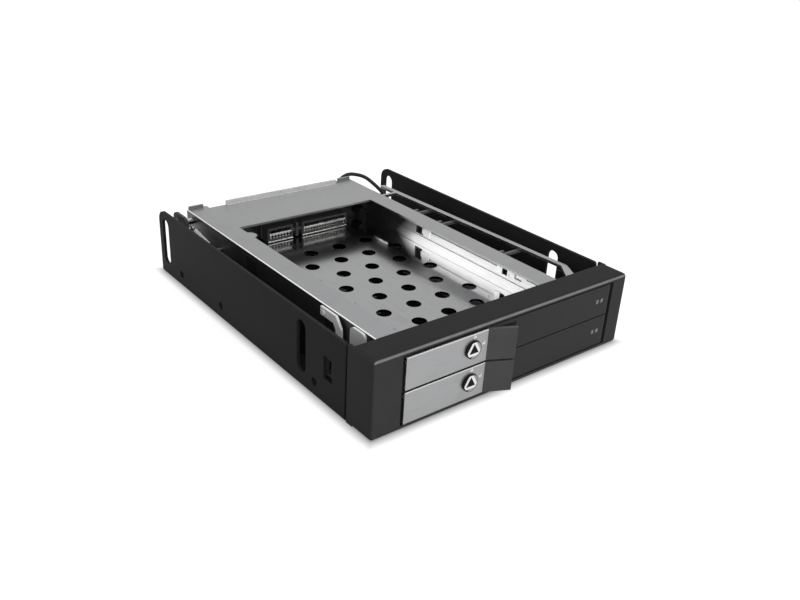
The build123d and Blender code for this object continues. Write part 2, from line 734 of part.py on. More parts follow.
# Doors, handle levers, locks and ejector bars: one set for each bay
def make_door(bottom, floor, prefix):
    """Front door of one bay, hinged on the right."""
    top = bottom + door_height
    middle = (bottom + top) / 2
    bar_bottom = floor + bay_height - bar_drop
    arm_bottom = bar_bottom + bar_sheet + contact_gap
    left = opening_left + door_gap
    levels = (bottom, top)
    with BuildPart() as door:
        slab((left, panel_end), (lever_recess, door_depth), levels)
        slab((scoop_edge, panel_end), (0, lever_recess + 0.1), levels)
        slab((panel_end - 0.1, hinge_x), (0, door_panel), levels)
        with BuildSketch(Plane.XY.offset(bottom)):
            with BuildLine():
                Polyline(
                    (scoop_edge, front),
                    (scoop_edge + 0.1, behind(lever_recess + 0.1)),
                    (scoop_edge - scoop_ramp, behind(lever_recess)),
                    close=True,
                )
            make_face()
        extrude(amount=door_height)
        slab((cover_end + 1.6, scoop_edge + 0.2), (0, lever_recess + 0.1), (top - scoop_brow, top))
        slab(
            (scoop_edge + 1.4, panel_end - 1.4),
            (door_panel, door_depth + 1),
            (bottom + door_rim, top - door_rim),
            Mode.SUBTRACT,
        )
        for x in (scoop_edge + 7.2, scoop_edge + 18.2):
            slab((x, x + 1.0), (door_panel, door_depth - 0.6), (bottom + 0.5, top - 0.5))
        post(hinge_x, hinge_radius, hinge_radius, levels)
        post(hinge_x, hinge_radius, hinge_pin_bore / 2 + running_gap, (bottom - 1, top + 1), Mode.SUBTRACT)
        for lug in ((bottom, bottom + lug_height), (top - lug_height, top)):
            post(lever_pivot_x, lever_pivot_depth, lug_radius, lug)
            slab(
                (lever_pivot_x - lug_radius, lever_pivot_x + lug_radius),
                (lever_pivot_depth, lever_recess + 0.1),
                lug,
            )
        post(lever_pivot_x, lever_pivot_depth, lever_pin / 2, (bottom + 0.1, top - 0.1), Mode.SUBTRACT)
        slab(
            (left - 1, lever_pivot_x + 1.0),
            (lever_recess - 0.1, door_depth + 1),
            (middle - claw_half - 0.4, middle + claw_half + 0.4),
            Mode.SUBTRACT,
        )
        pocket = (lever_recess - 0.5, lever_recess + 1.3)
        plug_along_y(lock_x, bottom + lock_rise, cam_pocket, pocket, Mode.SUBTRACT)
        for x in window_spots:
            slab(
                (x - window_width / 2, x + window_width / 2),
                (-1, 4.0),
                (bottom + window_rise - window_height / 2, bottom + window_rise + window_height / 2),
                Mode.SUBTRACT,
            )
        pin_x = hinge_x - eject_offset
        pin_depth = hinge_radius + eject_offset
        arm = (pin_x - arm_half, pin_x + arm_half)
        slab(arm, (door_panel - 1.0, pin_depth + 1.2), (arm_bottom, arm_bottom + arm_sheet))
        post(pin_x, pin_depth, eject_pin / 2, (bar_bottom - 0.1, arm_bottom + 0.1))
    write(door, f"{prefix}_door")
    with BuildPart() as windows:
        for x in window_spots:
            slab(
                (x - window_width / 2, x + window_width / 2),
                (0, door_panel),
                (bottom + window_rise - window_height / 2, bottom + window_rise + window_height / 2),
            )
    write(windows, f"{prefix}_light_windows")
    with BuildPart() as pin:
        post(lever_pivot_x, lever_pivot_depth, lever_pin / 2, (bottom + 0.1, top - 0.1))
    write(pin, f"{prefix}_lever_pin")


def make_lever(bottom, prefix):
    """Handle lever of one door: carrier, silver cover, grip fin and spring."""
    top = bottom + door_height
    middle = (bottom + top) / 2
    lock_level = bottom + lock_rise
    spring_span = (middle + claw_half + 0.2, top - lug_height - contact_gap)
    heights = (bottom + lever_inset, top - lever_inset)
    skin = (bottom + cover_inset, top - cover_inset)
    with BuildPart() as carrier:
        slab((lever_pivot_x, lever_right), (cover_sheet - cover_proud, lever_back), heights)
        slab((lever_left + 0.1, lever_pivot_x), (cover_sheet - cover_proud, lever_pivot_depth), heights)
        post(lever_pivot_x, lever_pivot_depth, knuckle_radius, heights)
        for gap in ((bottom, bottom + lug_height + contact_gap), (spring_span[0], top)):
            slab((lever_left - 1, lever_pivot_x + 1.5), (0, lever_recess), gap, Mode.SUBTRACT)
        with BuildSketch(Plane.XY.offset(middle - claw_half)):
            with BuildLine():
                Polyline(
                    (lever_pivot_x - 0.6, behind(lever_pivot_depth + 0.7)),
                    (opening_left + door_gap, behind(claw_tip_depth - 0.9)),
                    (opening_left + door_gap, behind(claw_tip_depth)),
                    (lever_pivot_x - 1.1, behind(claw_tip_depth)),
                    (lever_pivot_x + 0.7, behind(lever_pivot_depth + 1.0)),
                    close=True,
                )
            make_face()
        extrude(amount=2 * claw_half)
        post(lever_pivot_x, lever_pivot_depth, lever_pin / 2 + running_gap, (bottom, top), Mode.SUBTRACT)
        plug_along_y(lock_x, lock_level, lock_barrel / 2 + running_gap, (-1, lever_recess), Mode.SUBTRACT)
    write(carrier, f"{prefix}_lever_carrier")
    with BuildPart() as plate:
        slab((lever_left, cover_end), (-cover_proud, cover_sheet - cover_proud), skin)
        plug_along_y(lock_x, lock_level, lock_barrel / 2 + running_gap, (-2, lever_recess), Mode.SUBTRACT)
    write(plate, f"{prefix}_handle_cover")
    with BuildPart() as fin:
        with BuildSketch(Plane.XY.offset(skin[0])):
            with BuildLine():
                Polyline(
                    (cover_end, behind(-cover_proud)),
                    (fin_tip[0], behind(fin_tip[1])),
                    (fin_tip[0] + fin_thick / 2, behind(fin_tip[1] + fin_thick * 0.86)),
                    (cover_end + 1.4, behind(0)),
                    (cover_end + 1.4, behind(lever_back - 0.2)),
                    (lever_right, behind(lever_back - 0.2)),
                    (lever_right, behind(cover_sheet - cover_proud)),
                    (cover_end, behind(cover_sheet - cover_proud)),
                    close=True,
                )
            make_face()
        extrude(amount=skin[1] - skin[0])
    write(fin, f"{prefix}_grip_fin")
    with BuildPart() as coil:
        turns = 3
        pitch = (spring_span[1] - spring_span[0] - 0.1) / turns
        for turn in range(turns):
            low = spring_span[0] + 0.05 + turn * pitch
            post(lever_pivot_x, lever_pivot_depth, 1.15, (low, low + pitch * 0.8))
            post(lever_pivot_x, lever_pivot_depth, 1.0, (low, low + pitch))
        post(lever_pivot_x, lever_pivot_depth, lever_pin / 2 + running_gap, (bottom, top), Mode.SUBTRACT)
    write(coil, f"{prefix}_lever_spring")


def make_lock(bottom, prefix):
    """Lock of one door: the dished face with its three-sided key post, the barrel and the cam."""
    level = bottom + lock_rise
    face = cover_proud + lock_proud
    under_flange = -cover_proud - running_gap
    sunk = -face + lock_dish
    key_shapes = (
        (key_ridge, (-face, sunk), Mode.ADD),
        (key_ridge - key_wall, (-face - 1, sunk - 0.1), Mode.SUBTRACT),
    )
    with BuildPart() as knob:
        plug_along_y(lock_x, level, lock_flange / 2, (-face, under_flange))
        plug_along_y(lock_x, level, lock_barrel / 2, (under_flange, lever_back + 0.2))
        plug_along_y(lock_x, level, lock_flange / 2 - lock_rim, (-face - 1, lock_step - face), Mode.SUBTRACT)
        plug_along_y(lock_x, level, lock_barrel / 2 - 0.25, (-face - 1, sunk), Mode.SUBTRACT)
        for radius, depths, mode in key_shapes:
            with BuildSketch(Plane.XZ.offset(-behind(depths[1]))):
                with Locations((lock_x, level)):
                    RegularPolygon(radius, 3, rotation=90)
            extrude(amount=depths[1] - depths[0], mode=mode)
    write(knob, f"{prefix}_lock_knob")
    with BuildPart() as cam:
        depths = (lever_back + 0.2, lever_back + 0.2 + cam_thick)
        plug_along_y(lock_x, level, cam_hub, depths)
        slab((lock_x, lock_x + cam_reach), depths, (level - 1.0, level + 1.0))
    write(cam, f"{prefix}_lock_cam")


def make_ejector(floor, bar_step, prefix):
    """Sliding bar beside the right rail, pulled forward by the opening door."""
    bar_bottom = floor + bay_height - bar_drop
    pin_x = hinge_x - eject_offset
    pin_depth = hinge_radius + eject_offset
    pin_reach = eject_offset * math.sqrt(2)
    head = (hinge_x - pin_reach - eject_pin / 2 - 0.95, pin_x + bar_head_right)
    tab = (drive_rear + pin_play, drive_rear + pin_play + bar_tab)
    bar_left = outer_right + 4.0 + bar_step
    outer_edge = [
        (head[1], behind(bar_bend + 4.0)),
        (bar_left + bar_width, behind(tab[1])),
    ]
    inner_edge = [
        (bar_left, behind(tab[0])),
        (head[1] - 3.25, behind(bar_bend + 2.0)),
        (head[0], behind(10.0)),
    ]
    if bar_step:
        step_end = bar_bend + 1.8 * bar_step
        outer_edge = [
            (head[1], behind(bar_bend)),
            (head[1] + bar_step, behind(step_end)),
            (bar_left + bar_width, behind(upper_bar_tail)),
            (bar_left, behind(upper_bar_tail)),
            (bar_left, behind(tab[1])),
        ]
        inner_edge = [
            (bar_left, behind(tab[0])),
            (head[1] + bar_step - bar_width - 0.1, behind(step_end + 1.0)),
            (head[1] - 3.25, behind(bar_bend + 1.0)),
            (head[0], behind(10.0)),
        ]
    outline = [
        (head[0], behind(pin_depth - bar_nose)),
        (head[1], behind(pin_depth - bar_nose)),
        *outer_edge,
        (bar_tab_inner, behind(tab[1])),
        (bar_tab_inner, behind(tab[0])),
        *inner_edge,
    ]
    with BuildPart() as bar:
        with BuildSketch(Plane.XY.offset(bar_bottom)):
            with BuildLine():
                Polyline(*outline, close=True)
            make_face()
        extrude(amount=bar_sheet)
        slot_half = eject_pin / 2 + pin_play
        slab(
            (hinge_x - pin_reach - slot_half, pin_x + slot_half),
            (pin_depth - slot_half, pin_depth + slot_half),
            (bar_bottom - 1, bar_bottom + bar_sheet + 1),
            Mode.SUBTRACT,
        )
    write(bar, f"{prefix}_ejector_bar")


for bottom, floor, bar_step, prefix in (
    (lower_door_bottom, lower_floor, 0, "lower"),
    (upper_door_bottom, upper_floor, upper_bar_step, "upper"),
):
    make_door(bottom, floor, prefix)
    make_lever(bottom, prefix)
    make_lock(bottom, prefix)
    make_ejector(floor, bar_step, prefix)

# Guides that carry both ejector bars on the right rail
with BuildPart() as guides:
    for depth in guide_spots:
        spot = (depth - guide_sheet / 2, depth + guide_sheet / 2)
        upper_bar = upper_floor + bay_height - bar_drop
        lower_bar = lower_floor + bay_height - bar_drop
        slab((outer_right, outer_right + 3.7), spot, (lower_bar - 1.2, upper_bar + bar_sheet))
        for level, reach in ((lower_bar, 7.4), (upper_bar, 8.7 + upper_bar_step)):
            slab((outer_right + 3.6, outer_right + reach), spot, (level - 1.2, level - contact_gap))
write(guides, "ejector_guides")

# Indicator light board, holders, lamps and spacers beside the drives, behind the doors' right ends
lamp_levels = (lower_door_bottom + window_rise, upper_door_bottom + window_rise)
board_face = light_board_x + light_board_sheet
spacer_spots = ((15.0, 5.0), (15.0, 18.4))

with BuildPart() as light_board:
    slab((light_board_x, board_face), light_board_depths, light_board_heights)
write(light_board, "light_board")

with BuildPart() as spacers:
    for depth, z in spacer_spots:
        plug_along_x(depth, z, spacer_radius, (board_face, half_width - pan_sheet))
write(spacers, "light_board_spacers")

with BuildPart() as holders:
    for level in lamp_levels:
        heights = (level - holder_half, level + holder_half)
        slab((holder_left, light_board_x), (holder_front, holder_rear), heights)
write(holders, "lamp_holders")

with BuildPart() as lamps:
    for level in lamp_levels:
        for x in window_spots:
            plug_along_y(x, level, lamp_radius, (holder_front - 1.2, holder_front))
write(lamps, "indicator_lamps")

# Cable of the lights: socket and plug at each end, and the cord on its way round the rear corner
cable_x = inner_right - 5.25
cable_start = (cable_x, board_back + 7.0, 18.5)
cable_end = (board_face + 1.5, 21.5, 12.0)

with BuildPart() as cable_sockets:
    slab((cable_x - 2.5, cable_x + 2.5), (board_back, board_back + 4.0), (16.4, 20.6))
    slab((board_face, board_face + 3.1), (cable_end[1] - 8.5, cable_end[1] - 3.5), (9.8, 14.2))
write(cable_sockets, "cable_sockets")

with BuildPart() as rear_plug:
    slab((cable_x - 2.0, cable_x + 2.0), (board_back + 4.0, cable_start[1]), (17.0, 20.0))
write(rear_plug, "cable_rear_plug")

with BuildPart() as front_plug:
    slab((board_face + 0.1, board_face + 2.9), (cable_end[1] - 3.5, cable_end[1]), (10.4, 13.6))
write(front_plug, "cable_front_plug")

cable_line = cable_end[0]      # the cable's line beside the bracket
cable_route = [
    cable_start,
    (cable_x, board_back + 11.6, 18.5),
    (cable_x + 2.1, board_back + 15.8, 21.0),
    (cable_x + 7.1, board_back + 15.6, 24.2),
    (cable_line - 6.6, board_back + 11.2, 23.6),
    (cable_line - 3.6, board_back + 2.4, 19.0),
    (cable_line - 1.8, board_back - 8.6, 10.5),
    (cable_line - 0.4, board_back - 24.6, 3.0),
    (cable_line - 1.2, cable_end[1] + 48.5, 1.95),
    (cable_line + 0.2, cable_end[1] + 28.5, 2.3),
    (cable_line - 0.3, cable_end[1] + 14.5, 7.0),
    (cable_line, cable_end[1] + 6.0, 12.0),
    cable_end,
]


def arc_radii(points):
    """Radius of each bend: as large as the shorter of its two runs allows."""
    radii = []
    for before, corner, after in zip(points, points[1:], points[2:]):
        first, second = corner - before, after - corner
        turn = math.radians(first.get_angle(second))
        radii.append(0.45 * min(first.length, second.length) / math.tan(turn / 2))
    return radii


route = [Vector(x, behind(depth), z) for x, depth, z in cable_route]
bends = arc_radii(route)
print("cable bend radii", [round(radius, 1) for radius in bends])

with BuildPart() as cable:
    with BuildLine() as cable_path:
        FilletPolyline(*route, radius=bends)
    start = cable_path.line @ 0
    with BuildSketch(Plane(origin=start, z_dir=cable_path.line % 0)):
        Circle(cable_diameter / 2)
    sweep()
cable_length = sum(edge.length for edge in cable_path.edges())
cable_section = math.pi * (cable_diameter / 2) ** 2
print("cable length", round(cable_length, 1))
volume_ratio = cable.part.volume / (cable_section * cable_length)
print("cable volume over section times length", round(volume_ratio, 4))
write(cable, "light_cable")
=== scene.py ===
import json
import math

import bmesh
import bpy
from mathutils import Matrix, Vector


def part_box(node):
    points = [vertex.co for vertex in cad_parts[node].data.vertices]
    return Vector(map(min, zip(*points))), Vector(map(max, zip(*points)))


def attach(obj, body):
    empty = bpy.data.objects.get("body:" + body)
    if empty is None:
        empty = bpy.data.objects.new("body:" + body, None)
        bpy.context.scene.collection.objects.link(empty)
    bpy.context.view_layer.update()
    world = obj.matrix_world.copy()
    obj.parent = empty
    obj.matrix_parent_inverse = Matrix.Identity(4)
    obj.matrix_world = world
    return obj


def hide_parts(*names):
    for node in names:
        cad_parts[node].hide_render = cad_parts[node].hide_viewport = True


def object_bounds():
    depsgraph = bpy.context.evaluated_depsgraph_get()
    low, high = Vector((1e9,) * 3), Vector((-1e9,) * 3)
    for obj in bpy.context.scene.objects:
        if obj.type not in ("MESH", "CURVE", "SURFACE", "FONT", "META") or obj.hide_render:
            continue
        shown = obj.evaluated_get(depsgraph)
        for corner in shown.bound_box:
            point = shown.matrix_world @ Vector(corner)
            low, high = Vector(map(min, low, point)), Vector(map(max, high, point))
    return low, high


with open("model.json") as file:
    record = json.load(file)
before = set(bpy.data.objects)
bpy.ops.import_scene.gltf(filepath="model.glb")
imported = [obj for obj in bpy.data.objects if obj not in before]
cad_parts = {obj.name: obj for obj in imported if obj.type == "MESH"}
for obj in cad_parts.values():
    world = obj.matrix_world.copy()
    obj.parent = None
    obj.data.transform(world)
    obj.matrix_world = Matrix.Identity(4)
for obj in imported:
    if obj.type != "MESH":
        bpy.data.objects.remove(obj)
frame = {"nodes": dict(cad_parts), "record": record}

# Looks of the hot swap drive cage: finishes on the pieces of the frame, with painted light in some of
# them, coil springs, lock faces and marks, wall tabs and black sheets of painted shade over the wall
# holes, and small board parts. Lengths are metres, and mm is one millimetre.
mm = 0.001
cad_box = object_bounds()
nodes = frame["nodes"]
bays = ("lower", "upper")
rail_sheet = 0.8 * mm          # thickness of the rails' steel
bezel_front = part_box("bezel_frame")[0].y
left_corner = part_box("left_cage_rail")[0]
right_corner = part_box("right_cage_rail")[1]
rail_outer_faces = (left_corner.x, right_corner.x)
cage_middle = sum(rail_outer_faces) / 2
bay_wall = right_corner.x - rail_sheet   # the right rail's face to the bay
bay_floors = (left_corner.z + rail_sheet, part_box("middle_shelf")[1].z)

# Finishes
plastic_edge = 0.25 * mm       # rounding that the light finds on moulded edges
sheet_edge = 0.12 * mm
coat_edge = 0.2 * mm
fine_edge = 0.02 * mm
painted_dark_reflection = (0.035, 0.035, 0.036)       # painted reflection: what bright steel mirrors where no light comes from
facing_bay = (0.05, 0.25)                # from here on a rail's face no longer looks at the bay
facing_out = (0.75, 0.95)                # and from here on it looks outwards
facing_up = (0.86, 0.97)
facing_along = (0.8, 0.95)
crown_leaning = (0.62, 0.84)             # how far the bezel's rounding has turned to the front, for its painted highlight
crown_upward = (0.12, 0.3)               # and how far it still looks up
mirror_band = (22.2 * mm, 23.6 * mm)     # where the shelf turns bright with a painted reflection of the walls, from the cage's middle
rear_shade = (30.5 * mm, 41.5 * mm)      # where the bay walls turn dark with a painted reflection of the dark board, depth and height together
rear_flange = (48 * mm, 52 * mm)         # the cover's lip, bright with a painted highlight, lies behind this
even = (600, 600, 600)                   # mottling without streaks, features per metre

# Small pieces. Places in these tables are millimetres; a depth counts from the bezel's front face.
front_peg = (100.5, 17.2)      # the side spring's pegs: depth and height
rear_peg = (117.4, 19.6)
mark_sheet = 0.03 * mm         # thickness of the printed marks
lock_floor = 0.86 * mm         # floor of the dish behind the lock's front, where a black disc of painted shade lies
padlock_spots = (              # to the right of the lock's middle, above it, swing of the shackle
    (0.55, 3.75, 0.0),
    (4.15, 0.75, 0.35),
)
wall_tabs = (                  # depth, length, bottom, top
    (73.4, 4.2, 16.0, 18.5),
    (34.9, 2.6, 16.0, 19.2),
    (29.0, 2.4, 16.6, 19.2),
)
tab_rise = 0.38 * mm           # how far a tab stands out of the wall
tab_root = 0.1 * mm            # and how far it reaches into it
shade_sheet = 0.12 * mm         # thickness of the black sheets of painted shade over the rails' holes
hole_shades = (                 # front depth, rear depth, bottom and top over the bay's floor
    (76.3, 82.6, 1.9, 8.9),
    (32.0, 36.0, 2.9, 8.3),
)
contact_pitch = 1.27 * mm
contact_counts = (7, 15)
pin_radius = 0.4 * mm
pin_height = 0.7 * mm
pin_inset = 0.3 * mm           # the first pin stands so far beside the end of its contacts
board_fields = (               # x, z, width, height, columns, rows, seed
    (16.5, 17.0, 9.0, 5.5, 4, 3, 4),
    (20.0, 6.6, 8.0, 5.0, 4, 3, 9),
    (-18.5, 6.0, 6.0, 4.6, 3, 3, 2),
    (-14.0, 20.2, 9.0, 1.3, 5, 2, 7),
)

# Stage
floor_reach = 3.0
floor_height = -0.05 * mm      # just under the part
floor_grey = 0.40
floor_lift = 0.78
shadow_edge = (-1.5 * mm, 2.8 * mm)      # where the floor turns white, from the object's outline
world_light = 0.45
world_shown = 1.0
lamp_aim = (0, 0, 12 * mm)
lamps = (                      # name, place, side, power
    ("key_lamp", (0.35, 0.25, 0.95), 0.9, 3.5),
    ("front_lamp", (-0.35, -0.9, 0.5), 0.7, 4.3),
    ("right_glint", (0.63, -0.50, 0.76), 0.35, 1.4),
    ("left_glint", (-0.50, 0.76, 0.63), 0.35, 1.0),
)

# Camera, as the photograph was taken
camera_place = Vector((-163.1, -209.4, 133.8)) * mm
camera_heading = math.radians(39.655)    # to the right of straight ahead
camera_dip = math.radians(26.426)
camera_roll = math.radians(3.274)
photo_width = 800
focal_pixels = 840.1
sensor_width = 36.0


def place_camera():
    """A camera at the photograph's place, turned by its heading, dip and roll."""
    ahead = Vector((math.sin(camera_heading), math.cos(camera_heading), 0))
    forward = ahead * math.cos(camera_dip) - Vector((0, 0, math.sin(camera_dip)))
    level_right = Vector((math.cos(camera_heading), -math.sin(camera_heading), 0))
    level_up = level_right.cross(forward)
    right = level_right * math.cos(camera_roll) + level_up * math.sin(camera_roll)
    up = level_up * math.cos(camera_roll) - level_right * math.sin(camera_roll)
    lens = bpy.data.cameras.new("photo_camera")
    lens.sensor_width = sensor_width
    lens.lens = focal_pixels / photo_width * sensor_width
    lens.clip_start = 0.01
    camera = bpy.data.objects.new("photo_camera", lens)
    turn = Matrix((right, up, -forward)).transposed().to_4x4()
    camera.matrix_world = Matrix.Translation(camera_place) @ turn
    bpy.context.scene.collection.objects.link(camera)
    bpy.context.scene.camera = camera


# Materials

def new_material(name):
    """An empty node material with its shader, and the parts that every finish starts from."""
    material = bpy.data.materials.new(name)
    material.use_nodes = True
    tree = material.node_tree
    tree.nodes.clear()
    output = tree.nodes.new("ShaderNodeOutputMaterial")
    shader = tree.nodes.new("ShaderNodeBsdfPrincipled")
    tree.links.new(shader.outputs["BSDF"], output.inputs["Surface"])
    place = tree.nodes.new("ShaderNodeTexCoord")
    return material, tree, shader, place.outputs["Object"]


def scaled(tree, place, scale):
    """The place, stretched by a scale along each axis."""
    mapping = tree.nodes.new("ShaderNodeMapping")
    mapping.inputs["Scale"].default_value = scale
    tree.links.new(place, mapping.inputs["Vector"])
    return mapping.outputs["Vector"]


def noise(tree, place, scale, detail=3.0, roughness=0.55):
    """Cloudy noise; scale is in features per metre."""
    node = tree.nodes.new("ShaderNodeTexNoise")
    node.inputs["Scale"].default_value = scale
    node.inputs["Detail"].default_value = detail
    node.inputs["Roughness"].default_value = roughness
    tree.links.new(place, node.inputs["Vector"])
    return node.outputs["Fac"]


def blend_range(tree, value, low, high, start=0.3, end=0.7):
    """Maps a value between start and end to a range of values."""
    node = tree.nodes.new("ShaderNodeMapRange")
    node.inputs["From Min"].default_value = start
    node.inputs["From Max"].default_value = end
    node.inputs["To Min"].default_value = low
    node.inputs["To Max"].default_value = high
    tree.links.new(value, node.inputs["Value"])
    return node.outputs["Result"]


def rising(tree, value, start, end):
    """0 below the start, 1 above the end, and a straight rise between."""
    return blend_range(tree, value, 0.0, 1.0, start, end)


def two_tone(tree, value, dark, light, start=0.3, end=0.7):
    """A colour between two tones, by a noise."""
    ramp = tree.nodes.new("ShaderNodeValToRGB")
    ramp.color_ramp.elements[0].position = start
    ramp.color_ramp.elements[0].color = (*dark, 1)
    ramp.color_ramp.elements[1].position = end
    ramp.color_ramp.elements[1].color = (*light, 1)
    tree.links.new(value, ramp.inputs["Fac"])
    return ramp.outputs["Color"]


def soften(tree, shader, height, strength, distance, edge_radius):
    """A fine relief, over edges that are rounded unless their radius is 0."""
    bump = tree.nodes.new("ShaderNodeBump")
    bump.inputs["Strength"].default_value = strength
    bump.inputs["Distance"].default_value = distance
    if edge_radius:
        edge = tree.nodes.new("ShaderNodeBevel")
        edge.samples = 6
        edge.inputs["Radius"].default_value = edge_radius
        tree.links.new(edge.outputs["Normal"], bump.inputs["Normal"])
    tree.links.new(height, bump.inputs["Height"])
    tree.links.new(bump.outputs["Normal"], shader.inputs["Normal"])


def tones(colour, spread):
    """A darker and a lighter version of a colour."""
    return tuple(c * (1 - spread) for c in colour), tuple(min(1, c * (1 + spread)) for c in colour)


def brighter(colour, share):
    """A colour times a share, no brighter than white."""
    return tuple(min(1, c * share) for c in colour)


def number(tree, operation, first, second):
    """One operation on two values; either may be a plain number."""
    node = tree.nodes.new("ShaderNodeMath")
    node.operation = operation
    for socket, value in zip(node.inputs, (first, second)):
        if isinstance(value, (int, float)):
            socket.default_value = value
        else:
            tree.links.new(value, socket)
    return node.outputs[0]


def mixed(tree, share, first, second):
    """A colour between two; either may be a plain colour."""
    node = tree.nodes.new("ShaderNodeMix")
    node.data_type = "RGBA"
    tree.links.new(share, node.inputs[0])
    for socket, colour in ((node.inputs[6], first), (node.inputs[7], second)):
        if isinstance(colour, tuple):
            socket.default_value = (*colour, 1)
        else:
            tree.links.new(colour, socket)
    return node.outputs[2]


def parts_of(tree, vector):
    """The three parts of a place or a direction."""
    node = tree.nodes.new("ShaderNodeSeparateXYZ")
    tree.links.new(vector, node.inputs[0])
    return node.outputs


def facing_parts(tree):
    """The three parts of the direction that a face looks in."""
    return parts_of(tree, tree.nodes.new("ShaderNodeTexCoord").outputs["Normal"])


def backwards(tree, value):
    """The value with its sign turned."""
    return number(tree, "MULTIPLY", value, -1.0)


def absolute(tree, value):
    """The value without its sign."""
    return number(tree, "ABSOLUTE", value, 0.0)


def from_middle(tree, place):
    """How far a point lies to the right of the cage's middle."""
    return number(tree, "SUBTRACT", parts_of(tree, place)["X"], cage_middle)


def wear_and_highlight_edges(tree, place, radius):
    """Where edges are painted paler: most on upper edges as a painted highlight, a little on all as
    wear, broken up by a noise.
    """
    upper_highlight_share, other_share = 1.6, 0.5
    edge = tree.nodes.new("ShaderNodeBevel")
    edge.samples = 5
    edge.inputs["Radius"].default_value = radius
    flat = tree.nodes.new("ShaderNodeNewGeometry")
    apart = tree.nodes.new("ShaderNodeVectorMath")
    apart.operation = "SUBTRACT"
    tree.links.new(edge.outputs["Normal"], apart.inputs[0])
    tree.links.new(flat.outputs["True Normal"], apart.inputs[1])
    amount = tree.nodes.new("ShaderNodeVectorMath")
    amount.operation = "LENGTH"
    tree.links.new(apart.outputs[0], amount.inputs[0])
    # Painted highlight: edges that turn upward are paled most.
    upwards = number(tree, "MAXIMUM", parts_of(tree, apart.outputs[0])["Z"], 0.0)
    upper = number(tree, "MULTIPLY", upwards, upper_highlight_share)
    all_round = number(tree, "MULTIPLY", amount.outputs["Value"], other_share)
    both = number(tree, "ADD", upper, all_round)
    ragged = blend_range(tree, noise(tree, place, 700, 4.0), 0.55, 1.0)
    share = number(tree, "MULTIPLY", both, ragged)
    return number(tree, "MINIMUM", share, 1.0)


def front_rounding_highlight(tree):
    """Mask of the bezel's painted highlight: 1 low on a rounded edge that turns from the top to the
    front, 0 on all flat faces.
    """
    facing = facing_parts(tree)
    leaning = rising(tree, backwards(tree, facing["Y"]), *crown_leaning)
    upward = rising(tree, facing["Z"], *crown_upward)
    return number(tree, "MULTIPLY", leaning, upward)


def finish_surface(tree, shader, colour, rough, gloss):
    """Joins a colour and a roughness to the shader, and sets its gloss."""
    tree.links.new(colour, shader.inputs["Base Color"])
    tree.links.new(rough, shader.inputs["Roughness"])
    shader.inputs["Specular IOR Level"].default_value = gloss


def cloudy_rough(tree, clouds, rough, spread):
    """A roughness that changes a little with the clouds."""
    return blend_range(tree, clouds, rough - spread, rough + spread)


def moulded(
    name, colour, rough, gloss=0.10, grain_scale=3500, grain=0.25, edge=plastic_edge, rub_and_highlight=2.2
):
    """Moulded plastic with a fine spark-eroded grain, a faint uneven gloss, and paler edges: rubbed,
    and on the upper ones a painted highlight.
    """
    material, tree, shader, place = new_material(name)
    grain_height = noise(tree, place, grain_scale, 2.0)
    clouds = noise(tree, place, 60, 4.0)
    body = two_tone(tree, clouds, *tones(colour, 0.08))
    # Edges paled as wear, and as a painted highlight on the upper ones.
    worn_and_highlit = mixed(tree, wear_and_highlight_edges(tree, place, edge), body, brighter(colour, rub_and_highlight))
    finish_surface(tree, shader, worn_and_highlit, cloudy_rough(tree, clouds, rough, 0.05), gloss)
    soften(tree, shader, grain_height, grain, 0.02 * mm, edge)
    return material


def bezel_plastic(name, colour, rough, gloss, crown_highlight):
    """The bezel's plastic, with painted light: duller and darker on top as painted shade, paler in
    front, and a painted highlight along the rounding over the doors.
    """
    material, tree, shader, place = new_material(name)
    grain_height = noise(tree, place, 3500, 2.0)
    clouds = noise(tree, place, 60, 4.0)
    # Painted light: lit and shaded tones of one plastic, the top darker and the front paler than the
    # sides.
    side, top, front = (
        two_tone(tree, clouds, *tones(brighter(colour, share), 0.08)) for share in (1.0, 0.7, 1.5)
    )
    facing = facing_parts(tree)
    body = mixed(tree, rising(tree, facing["Z"], 0.6, 0.95), side, top)
    body = mixed(tree, rising(tree, backwards(tree, facing["Y"]), 0.6, 0.95), body, front)
    # Edges paled as wear, and as a painted highlight on the upper ones.
    worn_and_highlit = mixed(tree, wear_and_highlight_edges(tree, place, 0.3 * mm), body, brighter(colour, 2.0))
    # Painted highlight along the rounding over the doors, broken up by a noise.
    ragged = blend_range(tree, noise(tree, place, 260, 5.0), 0.75, 1.0)
    painted_shine = number(tree, "MULTIPLY", front_rounding_highlight(tree), ragged)
    body = mixed(tree, painted_shine, worn_and_highlit, crown_highlight)
    finish_surface(tree, shader, body, cloudy_rough(tree, clouds, rough, 0.05), gloss)
    soften(tree, shader, grain_height, 0.25, 0.02 * mm, plastic_edge)
    return material


def coated(name, colour, rough, gloss=0.10):
    """Black coating on steel: slight orange peel, paler rubbed spots, and paler edges, where the coat
    is thin and, on the upper ones, as a painted highlight.
    """
    material, tree, shader, place = new_material(name)
    peel = noise(tree, place, 1400, 3.0)
    clouds = noise(tree, place, 35, 5.0)
    body = two_tone(tree, clouds, *tones(colour, 0.12))
    # Edges paled where the coat is thin, and as a painted highlight on the upper ones.
    worn_and_highlit = mixed(tree, wear_and_highlight_edges(tree, place, coat_edge), body, brighter(colour, 3.0))
    finish_surface(tree, shader, worn_and_highlit, cloudy_rough(tree, clouds, rough, 0.06), gloss)
    soften(tree, shader, peel, 0.2, 0.03 * mm, coat_edge)
    return material


def streaked(tree, place, streaks):
    """Rolling streaks along one axis with a faint mottling: their height, and both together."""
    along = scaled(tree, place, streaks)
    lines = noise(tree, along, 1.0, 6.0, 0.6)
    mottle = noise(tree, place, 120, 5.0, 0.6)
    return lines, number(tree, "ADD", lines, mottle)


def steel_rough(tree, both, rough, spread):
    """A steel's roughness, uneven along its streaks."""
    return blend_range(tree, both, rough * (1 - spread), rough * (1 + spread), 0.7, 1.3)


